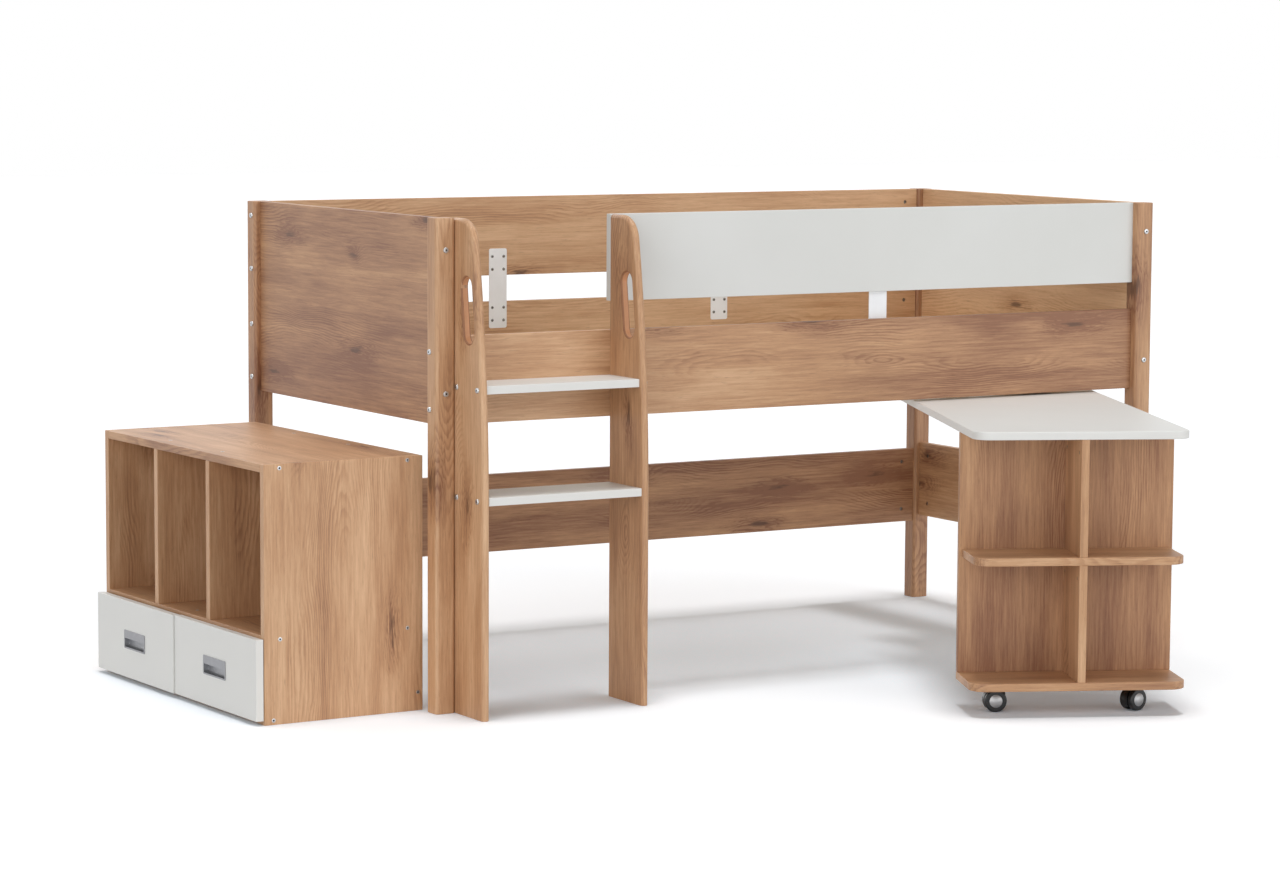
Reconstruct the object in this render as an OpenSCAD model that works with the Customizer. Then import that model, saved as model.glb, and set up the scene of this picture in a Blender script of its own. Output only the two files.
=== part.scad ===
// Cabin bed: a raised single bed with a two-tread ladder, a desk that swings out from under
// the bed on two castors, and a storage cabinet that pushes in under the other end.
// Millimetres. X runs along the bed, Y towards its back, Z up.
// The origin is on the floor, at the centre of the rectangle that the four posts stand in.

/* [Bed frame] */
// Length of the frame over its posts
frame_l = 1980; // [1940:10:2080]
// Width of the frame over its posts
frame_w = 980; // [960:10:1080]
// Height of the clear space under the rails
under_h = 640; // [630:5:700]
// Height of one rail
rail_h = 195; // [180:5:220]
// Gap between two rails, one above the other
rail_gap = 65; // [50:5:90]
// Thickness of the boards
board_t = 18; // [16:1:20]
// Radius along the edges of the boards
edge_r = 1; // [0.5:0.25:2]
// Size of a post along the bed
post_x = 48; // [44:1:56]
// Size of a post across the bed
post_y = 46; // [44:1:56]
// Radius of the upright edges of a post
post_r = 8; // [4:1:12]
// Distance from the posts' outer faces to the outer face of a long rail
rail_recess = 20.5; // [16:0.5:24]
// Distance from the posts' outer faces to the outer face of an end panel
panel_recess = 15; // [12:1:20]
// Height of the underside of the lower back rail
back_rail_z = 207; // [160:1:260]
// Rise of the lower end rail over the lower back rail, so that their bolts miss each other
end_rail_rise = 16; // [12:1:22]

/* [Mattress base] */
// Depth of the battens that carry the slats
batten_w = 20; // [16:1:30]
// Height of the battens
batten_h = 30; // [20:1:40]
// Width of one slat
slat_w = 70; // [50:1:90]
// Thickness of one slat
slat_t = 18; // [12:1:22]
// Number of slats
slat_count = 13; // [10:1:16]
// Gap left at each end of a slat and of a batten
slat_gap = 3; // [1:1:6]

/* [Bolts] */
// Diameter of the frame bolts
bolt_d = 6; // [5:1:8]
// Diameter of the bolt heads
bolt_head_d = 13; // [11:1:15]
// Height of the bolt heads
bolt_head_h = 3.5; // [2.5:0.5:5]
// Width across the flats of the hexagon socket
socket_af = 4; // [3:0.5:5]
// Distance from the edge of a rail to its bolts
rail_bolt_edge = 34; // [26:1:44]
// Distance from the edge of an end panel to its bolts
panel_bolt_edge = 70; // [56:1:90]
// Distance from the end of a board to its barrel nuts
nut_from_end = 37; // [28:1:46]
// Diameter of the barrel nuts
nut_d = 10; // [9:1:12]
// Length of the barrel nuts
nut_l = 12; // [10:1:14]

/* [Joining plates] */
// Width of a joining plate
plate_w = 50; // [44:1:60]
// How far a plate laps over each of the two rails that it joins
plate_lap = 66.5; // [60:0.5:80]
// Thickness of a plate
plate_t = 2; // [1.5:0.5:3]
// Corner radius of a plate
plate_r = 5; // [2:1:8]
// Distance between the screws of a plate
plate_pitch = 32; // [24:1:36]
// Distance from the edge of a rail to the first screws of a plate
plate_first = 15; // [10:1:20]
// Distance of the two back plates from the middle of the bed
plate_offset = 324.5; // [240:0.5:400]

/* [Ladder] */
// Clear width between the ladder sides
ladder_clear = 386; // [340:2:420]
// Depth of a ladder side at its foot
ladder_d = 148.5; // [130:0.5:170]
// Height of the straight foot of a ladder side
ladder_straight_h = 480; // [400:10:560]
// Radius of the curve that leans the front edge back
ladder_lean_r = 3500; // [2800:100:4500]
// Radius of the corner at the top of a ladder side
ladder_top_r = 60; // [40:2:80]
// Height of the top of the lower tread
tread_low_z = 491; // [430:1:540]
// Height of the top of the upper tread
tread_high_z = 734; // [690:1:800]
// How far the front edge of the lower tread lies behind the front of the ladder's foot
tread_low_back = 5.5; // [3:0.5:15]
// How far the front edge of the upper tread lies behind the front of the ladder's foot
tread_high_back = 18; // [10:0.5:24]
// Distance from the front of the ladder's foot to the front bolts of the treads
tread_bolt_in = 25.5; // [22:0.5:34]
// Length of a hand slot
slot_l = 146; // [120:2:160]
// Width of a hand slot
slot_w = 46; // [38:1:54]
// Radius of the rounded rim of a hand slot
slot_rim_r = 4; // [2:0.5:6]
// Height of the middle of a hand slot
slot_z = 896; // [880:2:910]
// Distance from the front edge of a side to the middle of its hand slot
slot_back = 47; // [42:1:52]

/* [Desk] */
// Length of the desk top
desk_l = 1150; // [1100:10:1180]
// Width of the desk top
desk_w = 487; // [440:1:500]
// Radius of the corners of the desk top
desk_r = 38; // [20:1:60]
// Gap between the desk top and the rails that it swings under
desk_gap = 5; // [3:1:10]
// Turn of the desk from square to the bed, as photographed
desk_turn = 24.5; // [0:0.5:60]
// Depth of the shelves under the front of the desk
desk_shelf_d = 161; // [130:1:200]
// Distance from the front edge of the desk top to the front edge of the shelves
desk_overhang = 2; // [0:1:10]
// Distance from each side of the desk to the end of its middle shelf
desk_shelf_inset = 7; // [3:1:20]
// Distance of the dividers from the middle of the desk
desk_divider_shift = 4; // [-40:1:40]
// Gap between the square desk and the right front post
desk_post_gap = 19.5; // [12:0.5:40]
// Distance from the bed's outer front to the desk when it is folded in
desk_stored_inset = 11.5; // [5:0.5:60]
// Distance from the rear edge of the desk top to its pivot
pivot_from_rear = 80; // [60:1:110]
// Diameter of the pivot bolt
pivot_d = 12; // [10:1:14]
// Width of the bearer that holds the pivot
bearer_w = 100; // [80:2:120]
// Thickness of the bearer
bearer_t = 22; // [18:1:28]

/* [Castors] */
// Height of the underside of the bottom desk shelf
castor_h = 59; // [57:0.5:70]
// Diameter of a castor wheel
wheel_d = 50; // [40:1:52]
// Width of one wheel
wheel_w = 12; // [10:0.5:15]
// Width of the hood between the two wheels of a castor
hood_w = 12; // [11:0.5:16]
// Distance from a castor's swivel axis to its axle
castor_trail = 16; // [12:0.5:20]
// Distance from the side of the desk to a swivel axis
castor_side = 88; // [70:1:110]
// Distance from the front of the desk top to the swivel axes
castor_front = 97; // [70:1:110]
// Direction in which the left castor trails, from the desk's width
castor_left_turn = 180; // [0:1:359]
// Direction in which the right castor trails, from the desk's width
castor_right_turn = 212; // [0:1:359]

/* [Cabinet] */
// Width of the cabinet
cabinet_w = 830; // [780:2:850]
// Depth of the cabinet
cabinet_d = 390; // [340:2:420]
// Height of the cabinet
cabinet_h = 569.5; // [540:0.5:620]
// Distance by which the cabinet stands out from under the bed
cabinet_out = 386; // [330:2:420]
// Distance from the bed's outer front to the near corner of the cabinet
cabinet_side = 62; // [58:1:80]
// Turn of the cabinet from square to the bed, as photographed
cabinet_turn = 1.4; // [0:0.1:1.8]
// Height of the top of the cubby floor
cubby_floor_z = 196; // [180:1:230]
// Thickness of the cabinet's back panel
back_t = 3; // [3:0.5:6]
// Depth of the flat rail below the drawers
front_rail_w = 43; // [36:1:60]
// Height of the upright rail behind the drawers
rear_rail_h = 80; // [60:1:100]

/* [Drawers] */
// Height of the underside of the drawer fronts
front_z = 10; // [6:1:16]
// Height of a drawer front
front_h = 179; // [166:1:182]
// Gap around and behind the closed drawer fronts
front_gap = 1.6; // [1:0.2:3]
// How far the left drawer stands open, as photographed
left_open = 3.5; // [0:0.5:12]
// Thickness of the drawer sides
box_t = 12; // [10:1:15]
// Height of the drawer sides
box_h = 120; // [100:1:126]
// Length of the drawer sides
box_l = 350; // [300:2:360]
// Gap between a drawer side and the carcass
runner_gap = 12.5; // [11:0.5:14]
// Width of a finger pull
pull_w = 112; // [90:1:130]
// Height of a finger pull
pull_h = 43; // [38:1:50]
// Depth of a finger pull
pull_d = 13; // [11:0.5:14]

/* [Hidden] */
$fn = 48;

oak = [0.76, 0.58, 0.42];
white = [0.87, 0.87, 0.85];
pine = [0.85, 0.74, 0.55];
steel = [0.72, 0.73, 0.75];
black = [0.09, 0.09, 0.10];
nylon = [0.92, 0.92, 0.90];

// Small clearances that the parts share
skin = 0.05;       // running fit of a shaft in its bore, measured on the radius
run = 0.3;         // gap between two parts that pass each other
bolt_play = 0.25;  // play of a bolt in its hole, measured on the radius
over = 1;          // how far a cutting shape runs past the face that it cuts

// Heights and places worked out from the frame's own sizes
post_h = under_h + 2 * rail_h + rail_gap;
guard_z = under_h + rail_h + rail_gap;
panel_h = post_h - under_h;
end_rail_z = back_rail_z + end_rail_rise;
front_mid_y = rail_recess + board_t / 2;
back_mid_y = frame_w - front_mid_y;
front_inner_y = rail_recess + board_t;
back_inner_y = frame_w - front_inner_y;
left_mid_x = panel_recess + board_t / 2;
right_mid_x = frame_l - left_mid_x;
long_rail_l = frame_l - 2 * post_x;
end_rail_l = frame_w - 2 * post_y;
batten_z = under_h + bearer_t;
slat_z = batten_z + batten_h;

ladder_right_x = post_x + board_t + ladder_clear;
guard_l = frame_l - post_x - ladder_right_x;
ladder_mids = [post_x + board_t / 2, ladder_right_x + board_t / 2];

desk_top_z = under_h - desk_gap;
desk_under_z = desk_top_z - board_t;
desk_panel_d = desk_overhang + desk_shelf_d;
desk_floor_z = castor_h + board_t;
desk_bay_h = (desk_under_z - desk_floor_z - board_t) / 2;
desk_mid_z = desk_floor_z + desk_bay_h;
desk_divider_x = desk_w / 2 + desk_divider_shift - board_t / 2;
pivot_x = frame_l - post_x - desk_post_gap - desk_w / 2;
pivot_y = desk_w / 2 + desk_stored_inset;
pivot_reach = desk_l - pivot_from_rear;

bay_w = (cabinet_w - 3 * board_t) / 2;
cubby_w = (cabinet_w - 4 * board_t) / 3;
cubby_under_z = cubby_floor_z - board_t;
inner_d = cabinet_d - back_t;
cabinet_inner_w = cabinet_w - 2 * board_t;
cabinet_base_z = 1;
drawer_base_z = cabinet_base_z + board_t;
box_w = bay_w - 2 * runner_gap;
box_z = drawer_base_z + 12;
front_w = (cabinet_w - 3 * front_gap) / 2;
front_mid_z = front_z + front_h / 2;

// ---------------------------------------------------------------- places

module in_frame() translate([-frame_l / 2, -frame_w / 2, 0]) children();

// The desk's own frame: X along its width, Y towards its pivot, from the top's near left corner
module in_desk() in_frame()
    translate([pivot_x, pivot_y, 0]) rotate([0, 0, -desk_turn])
        translate([-desk_w / 2, -pivot_reach, 0]) children();

// The cabinet's own frame: X into the cabinet, Y along its front, from its near front corner
module in_cabinet() in_frame()
    translate([-cabinet_out, cabinet_side, 0]) rotate([0, 0, cabinet_turn]) children();

// Stands an upright tool at p[0], its Z along p[1] and its Y along p[2]
module place(p) {
    x = cross(p[2], p[1]);
    multmatrix([[x.x, p[2].x, p[1].x, p[0].x],
                [x.y, p[2].y, p[1].y, p[0].y],
                [x.z, p[2].z, p[1].z, p[0].z]]) children();
}

// ---------------------------------------------------------------- shapes

module rounded_rect(size, r) {
    translate([r, 0]) square([size.x - 2 * r, size.y]);
    translate([0, r]) square([size.x, size.y - 2 * r]);
    for (x = [r, size.x - r], y = [r, size.y - r]) translate([x, y]) circle(r = r);
}

// A rectangle with only its two near corners rounded
module front_rounded(size, r) {
    translate([r, 0]) square([size.x - 2 * r, size.y]);
    translate([0, r]) square([size.x, size.y - r]);
    for (x = [r, size.x - r]) translate([x, r]) circle(r = r);
}

// Boards with softened long edges, along X, Y or Z; size is the whole box
module board_x(size) rotate([90, 0, 90]) linear_extrude(size.x) rounded_rect([size.y, size.z], edge_r);
module board_y(size) translate([0, size.y, 0]) rotate([90, 0, 0])
    linear_extrude(size.y) rounded_rect([size.x, size.z], edge_r);
module board_z(size) linear_extrude(size.z) rounded_rect([size.x, size.y], edge_r);

// ---------------------------------------------------------------- bolted joints
// Each joint is [seat of the bolt head, direction of the bolt, side on which the nut's bore opens]

function rail_rows(z) = [z + rail_bolt_edge, z + rail_h - rail_bolt_edge];

long_joints = [
    for (z = concat(rail_rows(under_h), rail_rows(guard_z)))
        [[frame_l, front_mid_y, z], [-1, 0, 0], [0, 1, 0]],
    for (z = rail_rows(under_h)) [[0, front_mid_y, z], [1, 0, 0], [0, 1, 0]],
    for (z = concat(rail_rows(under_h), rail_rows(guard_z), rail_rows(back_rail_z)), end = [0, 1])
        [[end * frame_l, back_mid_y, z], [1 - 2 * end, 0, 0], [0, -1, 0]]
];
panel_rows = [under_h + panel_bolt_edge, post_h - panel_bolt_edge];
end_joints = [
    for (z = panel_rows, side = [0, 1])
        [[left_mid_x, side * frame_w, z], [0, 1 - 2 * side, 0], [1, 0, 0]],
    for (z = concat(panel_rows, rail_rows(end_rail_z)), side = [0, 1])
        [[right_mid_x, side * frame_w, z], [0, 1 - 2 * side, 0], [-1, 0, 0]]
];
tread_front_y = rail_recess - ladder_d + tread_bolt_in;
tread_back_y = -(bolt_head_d / 2 + 0.5);
tread_joints = [
    for (z = [tread_low_z, tread_high_z] - [board_t, board_t] / 2, y = [tread_front_y, tread_back_y])
        each [[[post_x, y, z], [1, 0, 0], [0, 0, -1]],
              [[ladder_right_x + board_t, y, z], [-1, 0, 0], [0, 0, -1]]]
];
// The bolts that hold the ladder sides come from inside the rails, with sunk heads, and lie
// nearer the middle of each rail, clear of the bolts along it
side_row_in = 20;
side_joints = [
    for (z = rail_rows(under_h) + [side_row_in, -side_row_in], x = ladder_mids)
        [[x, front_inner_y - bolt_head_h, z], [0, -1, 0], [1, 0, 0]],
    for (z = rail_rows(guard_z) + [side_row_in, -side_row_in])
        [[ladder_mids[1], front_inner_y - bolt_head_h, z], [0, -1, 0], [1, 0, 0]]
];
side_pass = board_t - bolt_head_h;
side_hold = 22;

// A bolt passes through one piece, then runs into the end of the next as far as its barrel
// nut, which lies the length hold behind that end
module bolt(pass, hold) {
    difference() {
        translate([0, 0, -bolt_head_h]) cylinder(d1 = bolt_head_d - 2, d2 = bolt_head_d, h = bolt_head_h);
        translate([0, 0, -bolt_head_h - over])
            cylinder(d = socket_af / cos(30), h = bolt_head_h * 0.7 + over, $fn = 6);
    }
    cylinder(d = bolt_d, h = pass + hold + nut_d);
}
module nut(pass, hold) translate([0, 0, pass + hold]) difference() {
    rotate([90, 0, 0]) cylinder(d = nut_d - 2 * skin, h = nut_l, center = true);
    cylinder(d = bolt_d + 2 * skin, h = nut_d + 2 * over, center = true);
}
module bolt_bore(pass, hold) {
    translate([0, 0, -bolt_head_h - over])
        cylinder(d = bolt_d + 2 * bolt_play, h = pass + hold + nut_d + bolt_head_h + 2 * over);
    translate([0, board_t / 2 + over, pass + hold]) rotate([90, 0, 0])
        cylinder(d = nut_d, h = (board_t + nut_l) / 2 + over + run);
}
module head_sink() translate([0, 0, -bolt_head_h - over])
    cylinder(d = bolt_head_d + 1, h = bolt_head_h + over);

module long_bores() for (p = long_joints) place(p) bolt_bore(post_x, nut_from_end);
module end_bores() for (p = end_joints) place(p) bolt_bore(post_y, nut_from_end);
module tread_bores() for (p = tread_joints) place(p) bolt_bore(board_t, nut_from_end);
module side_bores() for (p = side_joints) place(p) {
    bolt_bore(side_pass, side_hold);
    head_sink();
}

// ---------------------------------------------------------------- screws
// A screw points along +Z from the face that its head lies on

screw_d = 4;
screw_head_d = 7.6;
screw_head_h = 1.5;
module screw(length) {
    translate([0, 0, -screw_head_h]) cylinder(d1 = screw_head_d * 0.6, d2 = screw_head_d, h = screw_head_h);
    cylinder(d = screw_d - 2 * skin, h = length);
}
module screw_bore(length) translate([0, 0, -over]) cylinder(d = screw_d, h = length + over + run);

plate_screw_l = plate_t + 14;
plate_rows = [-plate_pitch - plate_first - rail_gap / 2, -plate_first - rail_gap / 2,
              plate_first + rail_gap / 2, plate_pitch + plate_first + rail_gap / 2];
plate_mid_z = under_h + rail_h + rail_gap / 2;
guard_mid_x = (ladder_right_x + frame_l - post_x) / 2;
// Each plate is [its middle on the rails' inner face, direction into the rails]
plates = [
    [[frame_l / 2 - plate_offset, back_inner_y, plate_mid_z], [0, 1, 0], [0, 0, 1]],
    [[frame_l / 2 + plate_offset, back_inner_y, plate_mid_z], [0, 1, 0], [0, 0, 1]],
    [[guard_mid_x, front_inner_y, plate_mid_z], [0, -1, 0], [0, 0, 1]]
];
module at_plate_screws() for (p = plates) place(p)
    for (x = [-plate_pitch / 2, plate_pitch / 2], y = plate_rows)
        translate([x, y, -plate_t]) children();

// The battens are screwed to the rails, and the bearer to the battens from below
batten_screw_l = batten_w + 12;
batten_l = long_rail_l - 2 * slat_gap;
batten_screw_count = 6;
batten_xs = [for (i = [0 : batten_screw_count - 1])
    post_x + slat_gap + batten_l * (i + 0.5) / batten_screw_count];
module at_batten_screws() for (x = batten_xs) {
    place([[x, front_inner_y + batten_w, batten_z + batten_h / 2], [0, -1, 0], [0, 0, 1]]) children();
    place([[x, back_inner_y - batten_w, batten_z + batten_h / 2], [0, 1, 0], [0, 0, 1]]) children();
}
bearer_screw_l = bearer_t + batten_h * 0.7;
module at_bearer_screws()
    for (x = [-bearer_w / 4, bearer_w / 4], y = [front_inner_y + batten_w / 2, back_inner_y - batten_w / 2])
        translate([pivot_x + x, y, under_h]) children();

// ---------------------------------------------------------------- bed frame

module post(x, y) in_frame() difference() {
    translate([x, y, 0]) linear_extrude(post_h) rounded_rect([post_x, post_y], post_r);
    long_bores();
    end_bores();
}
module post_front_left() color(oak) post(0, 0);
module post_front_right() color(oak) post(frame_l - post_x, 0);
module post_back_left() color(oak) post(0, frame_w - post_y);
module post_back_right() color(oak) post(frame_l - post_x, frame_w - post_y);

module end_board(x, z, h) in_frame() difference() {
    translate([x, post_y, z]) board_y([board_t, end_rail_l, h]);
    end_bores();
}
module end_panel_left() color(oak) end_board(panel_recess, under_h, panel_h);
module end_panel_right() color(oak) end_board(frame_l - panel_recess - board_t, under_h, panel_h);
module end_rail_right() color(oak) end_board(frame_l - panel_recess - board_t, end_rail_z, rail_h);

module long_board(x, y, z, l) in_frame() difference() {
    translate([x, y, z]) board_x([l, board_t, rail_h]);
    long_bores();
    side_bores();
    at_plate_screws() screw_bore(plate_screw_l);
    at_batten_screws() screw_bore(batten_screw_l);
}
module front_rail() color(oak) long_board(post_x, rail_recess, under_h, long_rail_l);
module guard_rail() color(white) long_board(ladder_right_x, rail_recess, guard_z, guard_l);
module back_rail_top() color(oak) long_board(post_x, back_inner_y, guard_z, long_rail_l);
module back_rail_middle() color(oak) long_board(post_x, back_inner_y, under_h, long_rail_l);
module back_rail_low() color(oak) long_board(post_x, back_inner_y, back_rail_z, long_rail_l);

module slat_battens() color(pine) in_frame() difference() {
    for (y = [front_inner_y, back_inner_y - batten_w])
        translate([post_x + slat_gap, y, batten_z]) board_x([batten_l, batten_w, batten_h]);
    at_batten_screws() screw_bore(batten_screw_l);
    at_bearer_screws() screw_bore(bearer_screw_l);
}
module slats() color(pine) in_frame() {
    pitch = (batten_l - slat_w) / (slat_count - 1);
    for (i = [0 : slat_count - 1])
        translate([post_x + slat_gap + i * pitch, front_inner_y + slat_gap, slat_z])
            board_y([slat_w, back_inner_y - front_inner_y - 2 * slat_gap, slat_t]);
}

module joining_plates() color(white) in_frame() difference() {
    for (p = plates) place(p)
        translate([-plate_w / 2, -rail_gap / 2 - plate_lap, -plate_t])
            linear_extrude(plate_t) rounded_rect([plate_w, rail_gap + 2 * plate_lap], plate_r);
    at_plate_screws() screw_bore(plate_screw_l);
}
module wood_screws() color(steel) in_frame() {
    at_plate_screws() screw(plate_screw_l);
    at_batten_screws() screw(batten_screw_l);
    at_bearer_screws() screw(bearer_screw_l);
}
module frame_bolts() color(steel) in_frame() {
    for (p = long_joints) place(p) bolt(post_x, nut_from_end);
    for (p = end_joints) place(p) bolt(post_y, nut_from_end);
    for (p = tread_joints) place(p) bolt(board_t, nut_from_end);
    for (p = side_joints) place(p) bolt(side_pass, side_hold);
}
module barrel_nuts() color(steel) in_frame() {
    for (p = long_joints) place(p) nut(post_x, nut_from_end);
    for (p = end_joints) place(p) nut(post_y, nut_from_end);
    for (p = tread_joints) place(p) nut(board_t, nut_from_end);
    for (p = side_joints) place(p) nut(side_pass, side_hold);
}

// ---------------------------------------------------------------- ladder
// The outline of a ladder side lies in a plane with X back from its front edge and Y up:
// a straight foot, a wide arc that leans back, a corner arc, and a level top.

nose_r = board_t / 2;
corner_y = post_h - ladder_top_r;
lean_centre = [ladder_lean_r, ladder_straight_h];
lean_angle = asin((corner_y - ladder_straight_h) / (ladder_lean_r - ladder_top_r));
corner_x = ladder_lean_r - (ladder_lean_r - ladder_top_r) * cos(lean_angle);
function lean_at(z) = ladder_lean_r - sqrt(pow(ladder_lean_r, 2) - pow(z - ladder_straight_h, 2));

// The flat of the side, which ends where the round nose along its edge begins
module side_flat() {
    translate([nose_r, 0]) square([ladder_d - nose_r, ladder_straight_h]);
    intersection() {
        translate(lean_centre) circle(r = ladder_lean_r - nose_r, $fn = 720);
        polygon([[0, ladder_straight_h], [ladder_d, ladder_straight_h], [ladder_d, corner_y],
                 [corner_x, corner_y],
                 [corner_x - ladder_d * cos(lean_angle), corner_y + ladder_d * sin(lean_angle)]]);
    }
    intersection() {
        translate([corner_x, corner_y]) circle(r = ladder_top_r - nose_r);
        square([ladder_d, post_h]);
    }
    translate([corner_x, ladder_straight_h])
        square([ladder_d - corner_x, post_h - nose_r - ladder_straight_h]);
}
// The round nose, swept along the foot, the lean, the corner and the top
module side_nose() {
    translate([nose_r, 0, 0]) rotate([-90, 0, 0]) cylinder(r = nose_r, h = ladder_straight_h);
    translate([lean_centre.x, lean_centre.y, 0]) rotate([0, 0, 180 - lean_angle])
        rotate_extrude(angle = lean_angle, $fn = 720)
            translate([ladder_lean_r - nose_r, 0]) circle(r = nose_r, $fn = 48);
    translate([corner_x, corner_y, 0]) rotate([0, 0, 90])
        rotate_extrude(angle = 90 - lean_angle) translate([ladder_top_r - nose_r, 0]) circle(r = nose_r);
    translate([corner_x, post_h - nose_r, 0]) rotate([0, 90, 0])
        cylinder(r = nose_r, h = ladder_d - corner_x);
}
// Half the section of a hand slot, flared by a round rim at both faces
module slot_section() {
    translate([0, -over]) square([slot_w / 2, board_t + 2 * over]);
    for (face = [0, 1]) translate([0, face * board_t]) mirror([0, face]) difference() {
        translate([0, -over]) square([slot_w / 2 + slot_rim_r, slot_rim_r + over]);
        translate([slot_w / 2 + slot_rim_r, slot_rim_r]) circle(r = slot_rim_r);
    }
}
module hand_slot() {
    straight = slot_l - slot_w;
    for (end = [-1, 1]) translate([0, end * straight / 2, 0]) rotate_extrude() slot_section();
    translate([0, straight / 2, 0]) rotate([90, 0, 0]) linear_extrude(straight) {
        slot_section();
        mirror([1, 0]) slot_section();
    }
}
module ladder_side(x) in_frame() difference() {
    translate([x, rail_recess - ladder_d, 0]) rotate([90, 0, 90]) difference() {
        union() {
            linear_extrude(board_t) side_flat();
            translate([0, 0, nose_r]) side_nose();
        }
        translate([slot_back + lean_at(slot_z), slot_z, 0])
            rotate([0, 0, -asin((slot_z - ladder_straight_h) / ladder_lean_r)]) hand_slot();
    }
    tread_bores();
    side_bores();
}
module ladder_side_left() color(oak) ladder_side(post_x);
module ladder_side_right() color(oak) ladder_side(ladder_right_x);

module tread(top_z, back) in_frame() difference() {
    front_y = rail_recess - ladder_d + back;
    translate([post_x + board_t, front_y, top_z - board_t])
        board_x([ladder_clear, rail_recess - front_y, board_t]);
    tread_bores();
}
module ladder_tread_low() color(white) tread(tread_low_z, tread_low_back);
module ladder_tread_high() color(white) tread(tread_high_z, tread_high_back);

// ---------------------------------------------------------------- desk pivot

pivot_hex = 18;
pivot_head_h = 7.5;
washer_d = 30;
washer_t = 2.5;
flange_d = 34;
flange_t = 2.5;
bush_wall = 3;
pivot_nut_z = desk_under_z - flange_t - run - washer_t;
pivot_tail = 3;

module pivot_bearer() color(pine) in_frame() difference() {
    translate([pivot_x - bearer_w / 2, front_inner_y, under_h])
        board_y([bearer_w, back_inner_y - front_inner_y, bearer_t]);
    translate([pivot_x, pivot_y, under_h - over]) cylinder(d = pivot_d + 2 * skin, h = bearer_t + 2 * over);
    at_bearer_screws() screw_bore(bearer_screw_l);
}
// A hexagon bolt whose head and washer lie on the bearer, with a washer and nut under the desk
module pivot_bolt() color(steel) in_frame() translate([pivot_x, pivot_y, 0]) {
    shank_z = pivot_nut_z - pivot_head_h - pivot_tail;
    translate([0, 0, batten_z]) cylinder(d = washer_d, h = washer_t);
    translate([0, 0, batten_z + washer_t]) cylinder(d = pivot_hex / cos(30), h = pivot_head_h, $fn = 6);
    translate([0, 0, shank_z]) cylinder(d = pivot_d, h = batten_z + washer_t - shank_z);
    translate([0, 0, pivot_nut_z]) cylinder(d = washer_d, h = washer_t);
    translate([0, 0, pivot_nut_z - pivot_head_h]) cylinder(d = pivot_hex / cos(30), h = pivot_head_h, $fn = 6);
}
// Two flanged halves of a nylon bush, pushed into the desk top from above and below
module pivot_bush() color(nylon) in_desk() translate([desk_w / 2, pivot_reach, 0]) difference() {
    union() {
        translate([0, 0, desk_under_z]) cylinder(d = pivot_d + 2 * bush_wall, h = board_t);
        translate([0, 0, desk_top_z]) cylinder(d = flange_d, h = desk_gap - run);
        translate([0, 0, desk_under_z - flange_t]) cylinder(d = flange_d, h = flange_t);
    }
    translate([0, 0, desk_under_z - flange_t - over])
        cylinder(d = pivot_d + 2 * skin, h = board_t + flange_t + desk_gap + 2 * over);
}

// ---------------------------------------------------------------- desk

// Barrel nuts near the top of each divider, and screws through the panel into the boards
fitting_drop = 31;
fitting_ds = [27, desk_panel_d - 15];
desk_screw_l = board_t + 24;
desk_screw_xs = [desk_w * 0.12, desk_w * 0.38, desk_w * 0.88];
divider_screw_zs = [desk_under_z - desk_bay_h / 4, desk_mid_z - desk_bay_h / 4,
                    desk_under_z - desk_bay_h * 3 / 4, desk_mid_z - desk_bay_h * 3 / 4];
module at_desk_fittings() for (d = fitting_ds, z = [desk_under_z, desk_mid_z] - [fitting_drop, fitting_drop])
    translate([desk_divider_x, d, z]) rotate([0, 90, 0]) children();
module at_desk_screws() {
    for (x = desk_screw_xs)
        place([[x, desk_panel_d + board_t, desk_mid_z + board_t / 2], [0, -1, 0], [0, 0, 1]]) children();
    for (z = divider_screw_zs)
        place([[desk_divider_x + board_t / 2, desk_panel_d + board_t, z], [0, -1, 0], [0, 0, 1]]) children();
    for (x = desk_screw_xs)
        place([[x, desk_panel_d + board_t / 2, castor_h], [0, 0, 1], [0, 1, 0]]) children();
}
module desk_shelf(inset, depth) color(oak) translate([inset, desk_overhang, 0])
    linear_extrude(board_t) front_rounded([desk_w - 2 * inset, depth], desk_r);

module desk_top() color(white) in_desk() difference() {
    translate([0, 0, desk_under_z]) linear_extrude(board_t) rounded_rect([desk_w, desk_l], desk_r);
    translate([desk_w / 2, pivot_reach, desk_under_z - over])
        cylinder(d = pivot_d + 2 * bush_wall, h = board_t + 2 * over);
}
module desk_panel() color(oak) in_desk() difference() {
    translate([0, desk_panel_d, desk_floor_z]) board_z([desk_w, board_t, desk_under_z - desk_floor_z]);
    at_desk_screws() screw_bore(desk_screw_l);
}
module desk_shelf_middle() in_desk() difference() {
    translate([0, 0, desk_mid_z]) desk_shelf(desk_shelf_inset, desk_shelf_d);
    at_desk_screws() screw_bore(desk_screw_l);
}
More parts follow.
